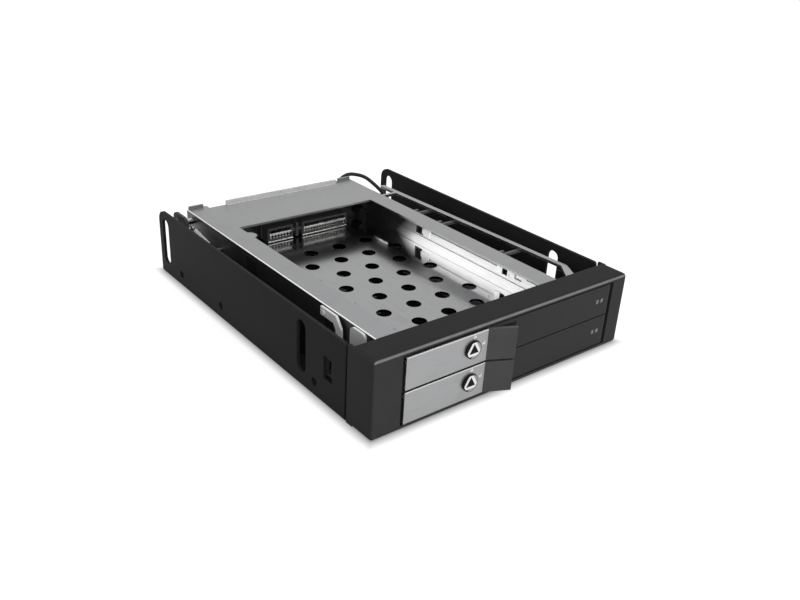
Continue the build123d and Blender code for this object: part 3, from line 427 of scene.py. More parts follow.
def sheet_tones(tree, both, colour, spread=0.05):
    """A steel colour, mottled a little."""
    return two_tone(tree, both, *tones(colour, spread), 0.7, 1.3)


def rolled(name, colour, rough, streaks, strength=0.15, edge=sheet_edge, bright=1.35):
    """Bare sheet steel: rolling streaks, a faint mottling, and edges painted paler, as wear and, on
    the upper ones, as a painted highlight.
    """
    material, tree, shader, place = new_material(name)
    shader.inputs["Metallic"].default_value = 1.0
    lines, both = streaked(tree, place, streaks)
    body = sheet_tones(tree, both, colour, 0.06)
    # Edges paled as wear, and as a painted highlight on the upper ones.
    edges_worn_and_highlit = mixed(tree, wear_and_highlight_edges(tree, place, edge), body, brighter(colour, bright))
    finish_surface(tree, shader, edges_worn_and_highlit, steel_rough(tree, both, rough, 0.25), 0.5)
    soften(tree, shader, lines, strength, 0.01 * mm, edge)
    return material


def rear_dark_reflection(tree, place):
    """Mask of the walls' painted dark reflection of the board: 0 in the front of a bay, rising to 1
    before the board; it starts further forward higher up.
    """
    where = parts_of(tree, place)
    return rising(tree, number(tree, "ADD", where["Y"], where["Z"]), *rear_shade)


def cage_sheet(name, wall, strip, bend, outer_shade, rough):
    """Rail steel, with light painted by facing: walls to the bay painted bright as a reflection,
    which darken to the rear as a painted reflection of the dark board, duller strips and end faces,
    bends with a painted highlight, and outer faces painted dark as shade."""
    material, tree, shader, place = new_material(name)
    shader.inputs["Metallic"].default_value = 0.6
    both = streaked(tree, place, (900, 22, 900))[1]
    facing = facing_parts(tree)
    side = number(tree, "SIGN", from_middle(tree, place), 0.0)
    outward = number(tree, "MULTIPLY", facing["X"], side)
    lengthwise = absolute(tree, facing["Y"])
    strip_steel = sheet_tones(tree, both, strip)
    shaded_outer_steel = sheet_tones(tree, both, outer_shade, 0.1)
    # Painted light by facing from here on: bright walls and their dark rear as painted reflections,
    # bends as a painted highlight, outer faces as painted shade.
    body = mixed(tree, rear_dark_reflection(tree, place), sheet_tones(tree, both, wall, 0.03), painted_dark_reflection)
    body = mixed(tree, rising(tree, outward, *facing_bay), body, sheet_tones(tree, both, bend))
    body = mixed(tree, rising(tree, outward, *facing_out), body, shaded_outer_steel)
    body = mixed(tree, rising(tree, facing["Z"], *facing_up), body, strip_steel)
    body = mixed(tree, rising(tree, lengthwise, *facing_along), body, strip_steel)
    finish_surface(tree, shader, body, steel_rough(tree, both, rough, 0.1), 0.5)
    return material


def shelf_sheet(name, colour, painted_shine, rough):
    """Shelf steel: mirror bright beside both walls as a painted reflection of them, with painted
    shade in the holes' rims.
    """
    # Painted shade in the holes' rims.
    dark = (0.03, 0.03, 0.03)
    material, tree, shader, place = new_material(name)
    shader.inputs["Metallic"].default_value = 1.0
    lines, both = streaked(tree, place, (900, 18, 900))
    # Painted reflection of the walls beside them.
    wall_reflection_share = rising(tree, absolute(tree, from_middle(tree, place)), *mirror_band)
    plain = sheet_tones(tree, both, colour)
    body = mixed(tree, wall_reflection_share, plain, sheet_tones(tree, both, painted_shine, 0.03))
    flat = absolute(tree, facing_parts(tree)["Z"])
    body = mixed(tree, blend_range(tree, flat, 1.0, 0.0), body, dark)
    smoother = blend_range(tree, wall_reflection_share, rough, rough * 0.4, 0.0, 1.0)
    finish_surface(tree, shader, body, smoother, 0.5)
    soften(tree, shader, lines, 0.03, 0.004 * mm, 0)
    return material


def cover_sheet(name, colour, lip_highlight, rough):
    """Cover steel: brushed flat, with a painted highlight on the front face of the flange at the
    rear.
    """
    material, tree, shader, place = new_material(name)
    shader.inputs["Metallic"].default_value = 0.9
    lines, both = streaked(tree, place, (1200, 25, 1200))
    # Painted highlight where the rear flange faces the front.
    forward = rising(tree, backwards(tree, facing_parts(tree)["Y"]), 0.4, 0.8)
    behind = rising(tree, parts_of(tree, place)["Y"], *rear_flange)
    share = number(tree, "MULTIPLY", forward, behind)
    body = mixed(tree, share, sheet_tones(tree, both, colour), sheet_tones(tree, both, lip_highlight))
    finish_surface(tree, shader, body, steel_rough(tree, both, rough, 0.2), 0.5)
    soften(tree, shader, lines, 0.12, 0.01 * mm, sheet_edge)
    return material


def clear_plastic(name, colour, glow):
    """Small clear lens over a lamp that is switched off."""
    material, tree, shader, place = new_material(name)
    clouds = noise(tree, place, 900, 2.0)
    tree.links.new(two_tone(tree, clouds, *tones(colour, 0.1)), shader.inputs["Base Color"])
    shader.inputs["Roughness"].default_value = 0.18
    shader.inputs["Coat Weight"].default_value = 0.3
    shader.inputs["Transmission Weight"].default_value = glow
    soften(tree, shader, clouds, 0.05, 0.01 * mm, 0.08 * mm)
    return material


def laminate(name, colour, track):
    """Circuit board: coloured mask with straight tracks just visible under it."""
    material, tree, shader, place = new_material(name)
    tiles = tree.nodes.new("ShaderNodeTexBrick")
    tiles.inputs["Color1"].default_value = (*colour, 1)
    tiles.inputs["Color2"].default_value = (*tones(colour, 0.25)[1], 1)
    tiles.inputs["Mortar"].default_value = (*track, 1)
    tiles.inputs["Scale"].default_value = 260
    tiles.inputs["Mortar Size"].default_value = 0.06
    tiles.inputs["Brick Width"].default_value = 1.7
    upright = tree.nodes.new("ShaderNodeMapping")
    upright.inputs["Rotation"].default_value = (math.radians(90), 0, 0)
    tree.links.new(place, upright.inputs["Vector"])
    tree.links.new(upright.outputs["Vector"], tiles.inputs["Vector"])
    tree.links.new(tiles.outputs["Color"], shader.inputs["Base Color"])
    shader.inputs["Roughness"].default_value = 0.32
    shader.inputs["Coat Weight"].default_value = 0.2
    soften(tree, shader, tiles.outputs["Fac"], 0.1, 0.02 * mm, 0.1 * mm)
    return material


finishes = {
    "pan_black": coated("black coated steel", (0.021, 0.021, 0.022), 0.45, 0.02),
    "ear_black": coated("dark coated steel", (0.040, 0.040, 0.042), 0.40),
    # The bezel's last colour is the painted highlight along its rounding over the doors.
    "bezel_black": bezel_plastic(
        "black bezel plastic", (0.036, 0.036, 0.037), 0.5, 0.02, (0.26, 0.26, 0.26)
    ),
    "door_black": moulded("black door plastic", (0.041, 0.041, 0.042), 0.45, 0.05),
    "connector_black": moulded(
        "black connector plastic", (0.020, 0.020, 0.020), 0.4, 0.15, 2600, 0.15, sheet_edge
    ),
    "chip_black": moulded("chip resin", (0.010, 0.010, 0.010), 0.5, 0.05, 5000, 0.2, 0.1 * mm),
    "capacitor_can": moulded(
        "dark capacitor sleeve", (0.010, 0.010, 0.011), 0.4, 0.06, 2000, 0.1, 0.15 * mm
    ),
    "fin_grey": moulded("dark grey fin plastic", (0.082, 0.082, 0.084), 0.42, 0.06, rub_and_highlight=1.5),
    "plug_white": moulded(
        "pale plug plastic", (0.62, 0.61, 0.58), 0.45, 0.4, 2600, 0.1, sheet_edge, 1.1
    ),
    "mark_pale": moulded(
        "pale printed mark", (0.85, 0.85, 0.85), 0.5, 0.3, 2600, 0.1, 0.05 * mm, 1.1
    ),
    # Print for the key lines, and painted shade for the arc round each lock.
    "mark_dark": moulded(
        "dark print and painted shade", (0.10, 0.10, 0.10), 0.5, 0.3, 2600, 0.1, 0.05 * mm, 1.1
    ),
    "cable_black": moulded(
        "black cable sheath", (0.016, 0.016, 0.016), 0.5, 0.2, 1800, 0.15, 0.05 * mm
    ),
    # Painted light: near-white walls, bright bends and dark outer faces of one rail steel.
    "cage_steel": cage_sheet(
        "bright rail steel",
        wall=(0.97, 0.97, 0.975),
        strip=(0.23, 0.232, 0.236),
        bend=(0.70, 0.70, 0.705),
        outer_shade=(0.045, 0.045, 0.046),
        rough=0.34,
    ),
    "shelf_steel": shelf_sheet(
        "polished shelf steel", (0.29, 0.292, 0.296), (0.93, 0.93, 0.935), 0.17
    ),
    "cover_steel": cover_sheet(
        "brushed cover steel", (0.24, 0.242, 0.246), (0.85, 0.85, 0.855), 0.34
    ),
    # Its paler upper edges are a painted highlight along the handles' tops, and wear.
    "handle_silver": rolled(
        "brushed handle metal", (0.33, 0.332, 0.336), 0.42, (20, 900, 1400), 0.2, 0.4 * mm, bright=1.7
    ),
    "spring_steel": rolled("bright spring steel", (0.24, 0.24, 0.245), 0.32, (400, 400, 400), 0.05),
    "bar_steel": rolled("plated bar steel", (0.30, 0.30, 0.305), 0.34, (700, 25, 700)),
    "fastener_steel": rolled("plated screw steel", (0.55, 0.55, 0.56), 0.26, (500, 500, 500), 0.05),
    "lock_metal": rolled("satin lock metal", (0.30, 0.30, 0.305), 0.3, even, 0.05, bright=1.2),
    # Painted highlight: the lock's ridge in a brighter copy of the lock metal.
    "key_metal": rolled("bright key ridge", (0.72, 0.72, 0.73), 0.3, even, 0.05, bright=1.1),
    "shield_steel": rolled("bright shield", (0.88, 0.88, 0.885), 0.25, even, 0.05, bright=1.1),
    "guide_grey": moulded(
        "grey guide plastic", (0.10, 0.10, 0.10), 0.45, 0.2, 2600, 0.15, sheet_edge, 1.8
    ),
    "socket_grey": moulded(
        "dark grey socket plastic", (0.050, 0.050, 0.050), 0.4, 0.3, 2600, 0.15, sheet_edge
    ),
    # Painted highlight: tabs of the rail steel, painted as pale as the lit walls.
    "tab_bright": rolled(
        "bright bent tabs", (0.97, 0.97, 0.97), 0.45, even, 0.05, fine_edge, bright=1.0
    ),
    "satin_zinc": moulded(
        "satin zinc leaf", (0.66, 0.66, 0.665), 0.45, 0.4, 2600, 0.1, 0.1 * mm, 1.3
    ),
    # Painted shade: black sheets over the rails' holes, so that the holes show dark.
    "hole_shade_black": moulded(
        "black hole shade", (0.012, 0.012, 0.012), 0.4, 0.1, 1500, 0.2, fine_edge, 1.5
    ),
    # Painted shade: the lock knob painted dark, as in the shade of its recess.
    "lock_shade": moulded(
        "dark lock body", (0.012, 0.012, 0.012), 0.4, 0.06, 2600, 0.1, 0.1 * mm, 2.5
    ),
    # Painted highlight along the covers' top edges.
    "edge_highlight": rolled(
        "painted edge highlight", (0.60, 0.60, 0.605), 0.3, even, 0.05, fine_edge, bright=1.0
    ),
    "contact_gold": rolled("plated contacts", (0.86, 0.82, 0.74), 0.25, (500, 500, 500), 0.04),
    "solder": rolled("solder", (0.66, 0.66, 0.67), 0.30, (700, 700, 700), 0.1),
    "lamp_clear": clear_plastic("clear lamp lens", (0.75, 0.76, 0.74), 0.3),
    "window_clear": clear_plastic("pale window lens", (0.13, 0.13, 0.13), 0.0),
    "board_laminate": laminate("board laminate", (0.010, 0.013, 0.012), (0.022, 0.028, 0.025)),
}

# Pieces whose finish in the picture differs from that of their slot
own_finishes = {
    # Painted shade: the lock knobs are dark as in the shade of their recess.
    "lower_lock_knob": "lock_shade",
    "upper_lock_knob": "lock_shade",
    "ejector_guides": "guide_grey",
    "ear_rivet": "spring_steel",
    "spring_pegs": "spring_steel",
    "latch_keeper": "satin_zinc",
    "latch_link": "satin_zinc",
    "lower_drive_socket": "socket_grey",
    "upper_drive_socket": "socket_grey",
    "lower_socket_shields": "shield_steel",
    "upper_socket_shields": "shield_steel",
}


def finish_frame():
    """Gives every node of the frame the finish of its slot, or its own."""
    for part in frame["record"]["subparts"]:
        material = finishes[own_finishes.get(part["node"], part["material_slot"])]
        piece = nodes[part["node"]]
        if not piece.material_slots:
            piece.data.materials.append(material)
        for slot in piece.material_slots:
            slot.material = material


# Making pieces

def add_piece(name, mesh, body, finish, smooth=True):
    """Links a finished mesh as a piece that rides on a body."""
    for face in mesh.polygons:
        face.use_smooth = smooth
    piece = bpy.data.objects.new(name, mesh)
    bpy.context.scene.collection.objects.link(piece)
    if not mesh.materials:
        mesh.materials.append(finishes[finish])
    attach(piece, body)
    return piece


def from_bmesh(name, shape):
    """A mesh from a bmesh, with its faces outwards."""
    bmesh.ops.remove_doubles(shape, verts=shape.verts, dist=0.000001)
    bmesh.ops.recalc_face_normals(shape, faces=shape.faces)
    mesh = bpy.data.meshes.new(name)
    shape.to_mesh(mesh)
    shape.free()
    return mesh


def evaluated_mesh(tree, settings):
    """The plain mesh that a geometry tree gives for some settings."""
    seed_mesh = bpy.data.meshes.new(tree.name)
    holder = bpy.data.objects.new(tree.name, seed_mesh)
    bpy.context.scene.collection.objects.link(holder)
    modifier = holder.modifiers.new(tree.name, "NODES")
    modifier.node_group = tree
    items = tree.interface.items_tree
    sockets = {item.name: item.identifier for item in items if item.in_out == "INPUT"}
    for name, value in settings.items():
        modifier[sockets[name]] = value
    bpy.context.view_layer.update()
    graph = bpy.context.evaluated_depsgraph_get()
    mesh = bpy.data.meshes.new_from_object(holder.evaluated_get(graph))
    holder.modifiers.clear()
    bpy.data.objects.remove(holder)
    return mesh


def geometry_tree(name, inputs):
    """A geometry tree with named number inputs and a mesh output."""
    tree = bpy.data.node_groups.new(name, "GeometryNodeTree")
    tree.interface.new_socket("Geometry", in_out="OUTPUT", socket_type="NodeSocketGeometry")
    for label, kind, default in inputs:
        socket = tree.interface.new_socket(label, in_out="INPUT", socket_type=kind)
        socket.default_value = default
    source = tree.nodes.new("NodeGroupInput")
    sink = tree.nodes.new("NodeGroupOutput")
    return tree, source, sink


def close_tree(tree, sink, geometry, finish):
    """Ends a tree in real geometry with its material."""
    realize = tree.nodes.new("GeometryNodeRealizeInstances")
    paint = tree.nodes.new("GeometryNodeSetMaterial")
    paint.inputs["Material"].default_value = finishes[finish]
    tree.links.new(geometry, realize.inputs["Geometry"])
    tree.links.new(realize.outputs["Geometry"], paint.inputs["Geometry"])
    tree.links.new(paint.outputs["Geometry"], sink.inputs["Geometry"])


def link_named(tree, source, sink, names):
    """Joins outputs of one node to inputs of another, by pairs of names."""
    for output, input_name in names:
        tree.links.new(source.outputs[output], sink.inputs[input_name])


def coil_tree():
    """Round wire wound in a helix that rises from the origin."""
    tree, source, sink = geometry_tree(
        "coil",
        (
            ("Turns", "NodeSocketFloat", 8.0),
            ("Radius", "NodeSocketFloat", 1.0 * mm),
            ("Height", "NodeSocketFloat", 5.0 * mm),
            ("Wire Radius", "NodeSocketFloat", 0.2 * mm),
        ),
    )
    helix = tree.nodes.new("GeometryNodeCurveSpiral")
    helix.inputs["Resolution"].default_value = 20
    pairs = (
        ("Turns", "Rotations"),
        ("Radius", "Start Radius"),
        ("Radius", "End Radius"),
        ("Height", "Height"),
    )
    link_named(tree, source, helix, pairs)
    ring = tree.nodes.new("GeometryNodeCurvePrimitiveCircle")
    ring.inputs["Resolution"].default_value = 10
    tree.links.new(source.outputs["Wire Radius"], ring.inputs["Radius"])
    wire = tree.nodes.new("GeometryNodeCurveToMesh")
    wire.inputs["Fill Caps"].default_value = True
    tree.links.new(helix.outputs["Curve"], wire.inputs["Curve"])
    tree.links.new(ring.outputs["Curve"], wire.inputs["Profile Curve"])
    close_tree(tree, sink, wire.outputs["Mesh"], "spring_steel")
    return tree


def wire_path(name, points, radius, sides=10):
    """Round wire along a line of points, with flat closed ends."""
    shape = bmesh.new()
    rings = []
    for index, point in enumerate(points):
        before = points[max(index - 1, 0)]
        after = points[min(index + 1, len(points) - 1)]
        direction = (after - before).normalized()
        if rings:
            across = across - direction * across.dot(direction)
        else:
            across = direction.orthogonal()
        across.normalize()
        other = direction.cross(across)
        ring = []
        for side in range(sides):
            angle = 2 * math.pi * side / sides
            offset = across * math.cos(angle) + other * math.sin(angle)
            ring.append(shape.verts.new(point + radius * offset))
        rings.append(ring)
    for first, second in zip(rings, rings[1:]):
        for side in range(sides):
            shape.faces.new((first[side], first[side - 1], second[side - 1], second[side]))
    shape.faces.new(rings[0])
    shape.faces.new(rings[-1][::-1])
    return from_bmesh(name, shape)


def join_meshes(name, meshes):
    """Several meshes as one."""
    shape = bmesh.new()
    for mesh in meshes:
        shape.from_mesh(mesh)
    result = bpy.data.meshes.new(name)
    shape.to_mesh(result)
    shape.free()
    return result


def behind_bezel(depth):
    """The Y of a point so many millimetres behind the bezel's front face."""
    return bezel_front + depth * mm


def make_lever_springs(tree):
    """Small return spring round each lever pin."""
    for bay in bays:
        low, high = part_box(f"{bay}_lever_spring")
        middle = (low + high) / 2
        wire = 0.13 * mm
        mesh = evaluated_mesh(
            tree,
            {
                "Turns": 4.0,
                "Radius": (high.x - low.x) / 2 - wire,
                "Height": high.z - low.z - 2 * wire,
                "Wire Radius": wire,
            },
        )
        mesh.transform(Matrix.Translation((middle.x, middle.y, low.z + wire)))
        piece = add_piece(f"{bay}_lever_coil", mesh, f"{bay}_handle", "spring_steel")
        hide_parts(f"{bay}_lever_spring")


def make_side_spring(tree):
    """Tension spring beside the left rail, with a hook over the peg at each end."""
    low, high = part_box("side_spring")
    wire = 0.3 * mm
    radius = 1.2 * mm
    hook = 1.0 * mm
    bend = 2.0 * mm
    fore, rear = (
        Vector(((low.x + high.x) / 2, behind_bezel(depth), height * mm))
        for depth, height in (front_peg, rear_peg)
    )
    run = rear - fore
    along = run.normalized()
    leg = 3.0 * mm
    coil_height = run.length - 2 * leg
    settings = {"Turns": 18.0, "Radius": radius, "Height": coil_height, "Wire Radius": wire}
    mesh = evaluated_mesh(tree, settings)
    turn = along.to_track_quat("Z", "X").to_matrix().to_4x4()
    mesh.transform(Matrix.Translation(fore + along * leg) @ turn)
    side = Vector((1, 0, 0))
    up = side.cross(along)
    hooks = []
    for peg, inward in ((fore, along), (rear, -along)):
        points = []
        for step in range(17):
            angle = math.radians(-150 + 300 * step / 16)
            points.append(peg - inward * hook * math.cos(angle) + up * hook * math.sin(angle))
        points.append(peg + inward * bend + up * 0.5 * mm)
        points.append(peg + inward * leg + up * radius)
        hooks.append(wire_path("hook", points, wire))
    spring = join_meshes("side_coil_spring", [mesh, *hooks])
    piece = add_piece("side_coil_spring", spring, "cage", "spring_steel")
    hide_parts("side_spring")


def triangle_points(radius, corner):
    """Triangle with rounded corners, point up, as pairs of numbers."""
    points = []
    for corner_index in range(3):
        heading = math.pi / 2 + corner_index * 2 * math.pi / 3
        inner = radius - 2 * corner
        for step in range(7):
            angle = heading + math.radians(-60 + 20 * step)
            x = inner * math.cos(heading) + corner * math.cos(angle)
            z = inner * math.sin(heading) + corner * math.sin(angle)
            points.append((x, z))
    return points


def cut_triangle_points(radius, reach, steps=12):
    """Triangle, point up, with its corners cut round at a reach, as pairs of numbers."""
    corners = [math.pi / 2 + corner * 2 * math.pi / 3 for corner in range(3)]
    points = []
    for start, end in zip(corners, corners[1:] + corners[:1]):
        for step in range(steps):
            share = step / steps
            x = radius * (math.cos(start) * (1 - share) + math.cos(end) * share)
            z = radius * (math.sin(start) * (1 - share) + math.sin(end) * share)
            cut = min(1.0, reach / math.hypot(x, z))
            points.append((x * cut, z * cut))
    return points


def disc_points(radius, steps=40):
    """A circle, as pairs of numbers."""
    angles = [2 * math.pi * step / steps for step in range(steps)]
    return [(radius * math.cos(angle), radius * math.sin(angle)) for angle in angles]


def box_points(width, height):
    """A rectangle about a point, as pairs of numbers."""
    x, z = width / 2, height / 2
    return [(x, -z), (x, z), (-x, z), (-x, -z)]


def arch_points(radius, thick, rise, swing, steps=10):
    """A half ring that stands on a line, as pairs of numbers; swing moves it to one side."""
    angles = [math.pi * step / steps for step in range(steps + 1)]
    outer, inner = (
        [(reach * math.cos(angle) + swing, rise + reach * math.sin(angle)) for angle in angles]
        for reach in (radius, radius - thick)
    )
    return outer + inner[::-1]


def block_between(shape, first, second):
    """Closes the block between two rings of corners."""
    shape.faces.new(first)
    shape.faces.new(second[::-1])
    for index in range(len(first)):
        following = (index + 1) % len(first)
        shape.faces.new((first[following], first[index], second[index], second[following]))


def plate_on_front(shape, outline, centre, front_y, thick):
    """A flat plate with this outline, standing proud of a face that looks to the front."""
    front = [shape.verts.new((centre[0] + x, front_y, centre[1] + z)) for x, z in outline]
    back = [shape.verts.new((centre[0] + x, front_y + thick, centre[1] + z)) for x, z in outline]
    block_between(shape, front, back)


def crescent_points(outer, inner, start, end, steps=16):
    """Part of a ring that narrows to both ends, as pairs of numbers."""
    far = []
    near = []
    for step in range(steps + 1):
        share = step / steps
        angle = math.radians(start + (end - start) * share)
        width = (outer - inner) * math.sin(math.pi * share) ** 0.6
        far.append((outer * math.cos(angle), outer * math.sin(angle)))
        near.append(((outer - width) * math.cos(angle), (outer - width) * math.sin(angle)))
    return far + near[-2:0:-1]


def make_lock_faces():
    """On each lock: a three-sided ridge with a painted highlight, the key opening as a black plate of
    painted shade, its bright side, and a black disc of painted shade on the dish's floor.
    """
    ridge = cut_triangle_points(3.7 * mm, 2.42 * mm)
    opening_shade = triangle_points(2.0 * mm, 0.06 * mm)
    bright_side = crescent_points(2.6 * mm, 1.2 * mm, -115, 80)
    shade_disc = disc_points(2.15 * mm)
    for bay in bays:
        low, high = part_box(f"{bay}_lock_knob")
        middle = ((low.x + high.x) / 2, (low.z + high.z) / 2)
        # Painted light: the ridge is a painted highlight, the opening and dish floor are black plates
        # of shade, and the bright side is the lit side of the lock's metal on its dark knob.
        for name, finish, outline, sunk, thick in (
            ("key_ridge", "key_metal", ridge, -0.01 * mm, 0.5 * mm),
            ("key_opening_shade", "chip_black", opening_shade, -0.03 * mm, 0.3 * mm),
            ("bright_side", "lock_metal", bright_side, -0.005 * mm, 0.4 * mm),
            ("dish_floor_shade", "chip_black", shade_disc, lock_floor, mark_sheet),
        ):
            shape = bmesh.new()
            plate_on_front(shape, outline, middle, low.y + sunk, thick)
            mesh = from_bmesh(name, shape)
            add_piece(f"{bay}_{name}", mesh, f"{bay}_lock", finish, False)


def make_lock_marks():
    """A shut and an open padlock at each lock, a short line to each, and a thin dark arc of painted
    shade round the lock.
    """
    for bay in bays:
        low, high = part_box(f"{bay}_lock_knob")
        middle = ((low.x + high.x) / 2, (low.z + high.z) / 2)
        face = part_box(f"{bay}_handle_cover")[0].y - mark_sheet / 2
        pale = bmesh.new()
        for right, above, swing in padlock_spots:
            centre = (middle[0] + right * mm, middle[1] + above * mm)
            body = box_points(1.1 * mm, 0.74 * mm)
            shackle = arch_points(0.40 * mm, 0.16 * mm, 0.36 * mm, swing * mm)
            for outline in (body, shackle):
                plate_on_front(pale, outline, centre, face, mark_sheet)
        mesh = from_bmesh("padlock_marks", pale)
        add_piece(f"{bay}_padlock_marks", mesh, f"{bay}_handle", "mark_pale", False)
        dark = bmesh.new()
        line_length, line_width = 0.6 * mm, 0.28 * mm
        upper = (middle[0] - 0.1 * mm, middle[1] + 3.1 * mm)
        beside = (middle[0] + 3.1 * mm, middle[1] + 0.05 * mm)
        for outline, centre in (
            (box_points(line_width, line_length), upper),
            (box_points(line_length, line_width), beside),
            # Painted shade: a thin dark arc round the lock, widest at its upper right.
            (crescent_points(3.0 * mm, 2.7 * mm, -70, 200), middle),
        ):
            plate_on_front(dark, outline, centre, face, mark_sheet)
        mesh = from_bmesh("key_lines_and_shade_arc", dark)
        add_piece(f"{bay}_key_lines_and_shade_arc", mesh, f"{bay}_handle", "mark_dark", False)


def make_cover_edges():
    """Painted highlight: a thin bright strip along the top of each silver cover."""
    for bay in bays:
        low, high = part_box(f"{bay}_handle_cover")
        middle = ((low.x + high.x) / 2, high.z - 0.16 * mm)
        bevel = 0.3 * mm
        shape = bmesh.new()
        outline = box_points(high.x - low.x - bevel, bevel)
        plate_on_front(shape, outline, middle, low.y - mark_sheet / 2, mark_sheet)
        mesh = from_bmesh("cover_edge_highlight", shape)
        add_piece(f"{bay}_cover_edge_highlight", mesh, f"{bay}_handle", "edge_highlight", False)


def make_wall_tabs():
    """Small pale tabs that are bent out of both bay walls beside their holes; their pale colour is a
    painted highlight.
    """
    for side in (1, -1):
        shape = bmesh.new()
        wall = cage_middle + side * (bay_wall - cage_middle)
        near = wall - side * tab_rise
        far = wall + side * tab_root
        for depth, length, bottom, top in wall_tabs:
            middle = (bottom + top) / 2
            outline = (
                (0, bottom),
                (0, top),
                (length * 0.85, top),
                (length, top - 0.5),
                (length, bottom),
            )
            rings = []
            for x, narrowed in ((near, 0.075), (far, 0.0)):
                ring = []
                for along, z in outline:
                    height = middle + (z - middle) * (1 - narrowed)
                    ring.append(shape.verts.new((x, behind_bezel(depth + along), height * mm)))
                rings.append(ring)
            block_between(shape, *rings)
        name = "right_wall_tabs" if side > 0 else "left_wall_tabs"
        add_piece(name, from_bmesh(name, shape), "cage", "tab_bright", False)


def make_hole_shades():
    """Black sheets of painted shade on the outer faces of both rails, over their holes, so that the
    holes show dark.
    """
    for bay, bay_floor in zip(bays, bay_floors):
        shape = bmesh.new()
        for face in rail_outer_faces:
            x = face + math.copysign(shade_sheet / 2, face)
            for front, rear, bottom, top in hole_shades:
                height = bay_floor + (bottom + top) / 2 * mm
                centre = Vector((x, behind_bezel((front + rear) / 2), height))
                size = (shade_sheet, (rear - front) * mm, (top - bottom) * mm, 1.0)
                place = Matrix.Translation(centre) @ Matrix.Diagonal(size)
                bmesh.ops.create_cube(shape, size=1.0, matrix=place)
        mesh = from_bmesh("hole_shades", shape)
        add_piece(f"{bay}_hole_shades", mesh, "cage", "hole_shade_black", False)


def pin_row_tree():
    """A row of short soldered pin ends, each a small cone, that stand out to the back."""
    tree, source, sink = geometry_tree(
        "pin_row",
        (
            ("Count", "NodeSocketInt", contact_counts[1]),
            ("Pitch", "NodeSocketFloat", contact_pitch),
            ("Radius", "NodeSocketFloat", pin_radius),
            ("Height", "NodeSocketFloat", pin_height),
        ),
    )
    row = tree.nodes.new("GeometryNodeMeshLine")
    row.mode = "OFFSET"
    step = tree.nodes.new("ShaderNodeCombineXYZ")
    tree.links.new(source.outputs["Pitch"], step.inputs["X"])
    tree.links.new(source.outputs["Count"], row.inputs["Count"])
    tree.links.new(step.outputs[0], row.inputs["Offset"])
    cone = tree.nodes.new("GeometryNodeMeshCone")
    cone.inputs["Vertices"].default_value = 10
    cone.inputs["Radius Top"].default_value = 0.16 * mm
    link_named(tree, source, cone, (("Radius", "Radius Bottom"), ("Height", "Depth")))
    place = tree.nodes.new("GeometryNodeInstanceOnPoints")
    place.inputs["Rotation"].default_value = (math.radians(-90), 0, 0)
    tree.links.new(row.outputs["Mesh"], place.inputs["Points"])
    tree.links.new(cone.outputs["Mesh"], place.inputs["Instance"])
    close_tree(tree, sink, place.outputs["Instances"], "solder")
    return tree


def small_parts_tree():
    """Loose rows of small block parts on a board, some places left empty."""
    tree, source, sink = geometry_tree(
        "small_parts",
        (
            ("Width", "NodeSocketFloat", 20 * mm),
            ("Height", "NodeSocketFloat", 6 * mm),
            ("Columns", "NodeSocketInt", 7),
            ("Rows", "NodeSocketInt", 3),
            ("Seed", "NodeSocketInt", 4),
        ),
    )
    grid = tree.nodes.new("GeometryNodeMeshGrid")
    pairs = (
        ("Width", "Size X"),
        ("Height", "Size Y"),
        ("Columns", "Vertices X"),
        ("Rows", "Vertices Y"),
    )
    link_named(tree, source, grid, pairs)
    keep = tree.nodes.new("FunctionNodeRandomValue")
    keep.data_type = "BOOLEAN"
    keep.inputs["Probability"].default_value = 0.72
    tree.links.new(source.outputs["Seed"], keep.inputs["Seed"])
    block = tree.nodes.new("GeometryNodeMeshCube")
    block.inputs["Size"].default_value = (1.5 * mm, 0.8 * mm, 0.55 * mm)
    place = tree.nodes.new("GeometryNodeInstanceOnPoints")
    tree.links.new(grid.outputs["Mesh"], place.inputs["Points"])
    tree.links.new(keep.outputs["Value"], place.inputs["Selection"])
    tree.links.new(block.outputs["Mesh"], place.inputs["Instance"])
    size = tree.nodes.new("FunctionNodeRandomValue")
    size.data_type = "FLOAT_VECTOR"
    size.inputs["Min"].default_value = (0.7, 0.8, 0.8)
    size.inputs["Max"].default_value = (1.2, 1.3, 1.1)
    tree.links.new(source.outputs["Seed"], size.inputs["Seed"])
    tree.links.new(size.outputs["Value"], place.inputs["Scale"])
    close_tree(tree, sink, place.outputs["Instances"], "chip_black")
    return tree


def make_board_details():
    """Soldered pin ends of both drive sockets, and small parts, on the back of the backplane."""
    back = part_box("backplane_board")[1].y
    pins = pin_row_tree()
    row_lift = 0.9 * mm
    for bay in bays:
        low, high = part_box(f"{bay}_socket_contacts")
        rise = (low.z + high.z) / 2
        meshes = []
        starts = (low.x, high.x - (contact_counts[1] - 1) * contact_pitch)
        for count, start in zip(contact_counts, starts):
            for lift in (-row_lift, row_lift):
                settings = {
                    "Count": count,
                    "Pitch": contact_pitch,
                    "Radius": pin_radius,
                    "Height": pin_height,
                }
                mesh = evaluated_mesh(pins, settings)
                place = (start + pin_inset, back - 0.02 * mm, rise + lift)
                mesh.transform(Matrix.Translation(place))
                meshes.append(mesh)
        row = join_meshes("solder_pins", meshes)
        row.materials.append(finishes["solder"])
        add_piece(f"{bay}_solder_pins", row, "cage", "solder")
    parts = small_parts_tree()
    turn = Matrix.Rotation(math.radians(90), 4, "X")
    meshes = []
    for x, z, width, height, columns, rows, seed in board_fields:
        settings = {
            "Width": width * mm,
            "Height": height * mm,
            "Columns": columns,
            "Rows": rows,
            "Seed": seed,
        }
        mesh = evaluated_mesh(parts, settings)
        mesh.transform(Matrix.Translation((x * mm, back + 0.22 * mm, z * mm)) @ turn)
        meshes.append(mesh)
    small = join_meshes("small_board_parts", meshes)
    small.materials.append(finishes["chip_black"])
    add_piece("small_board_parts", small, "cage", "chip_black", smooth=False)


# The stage

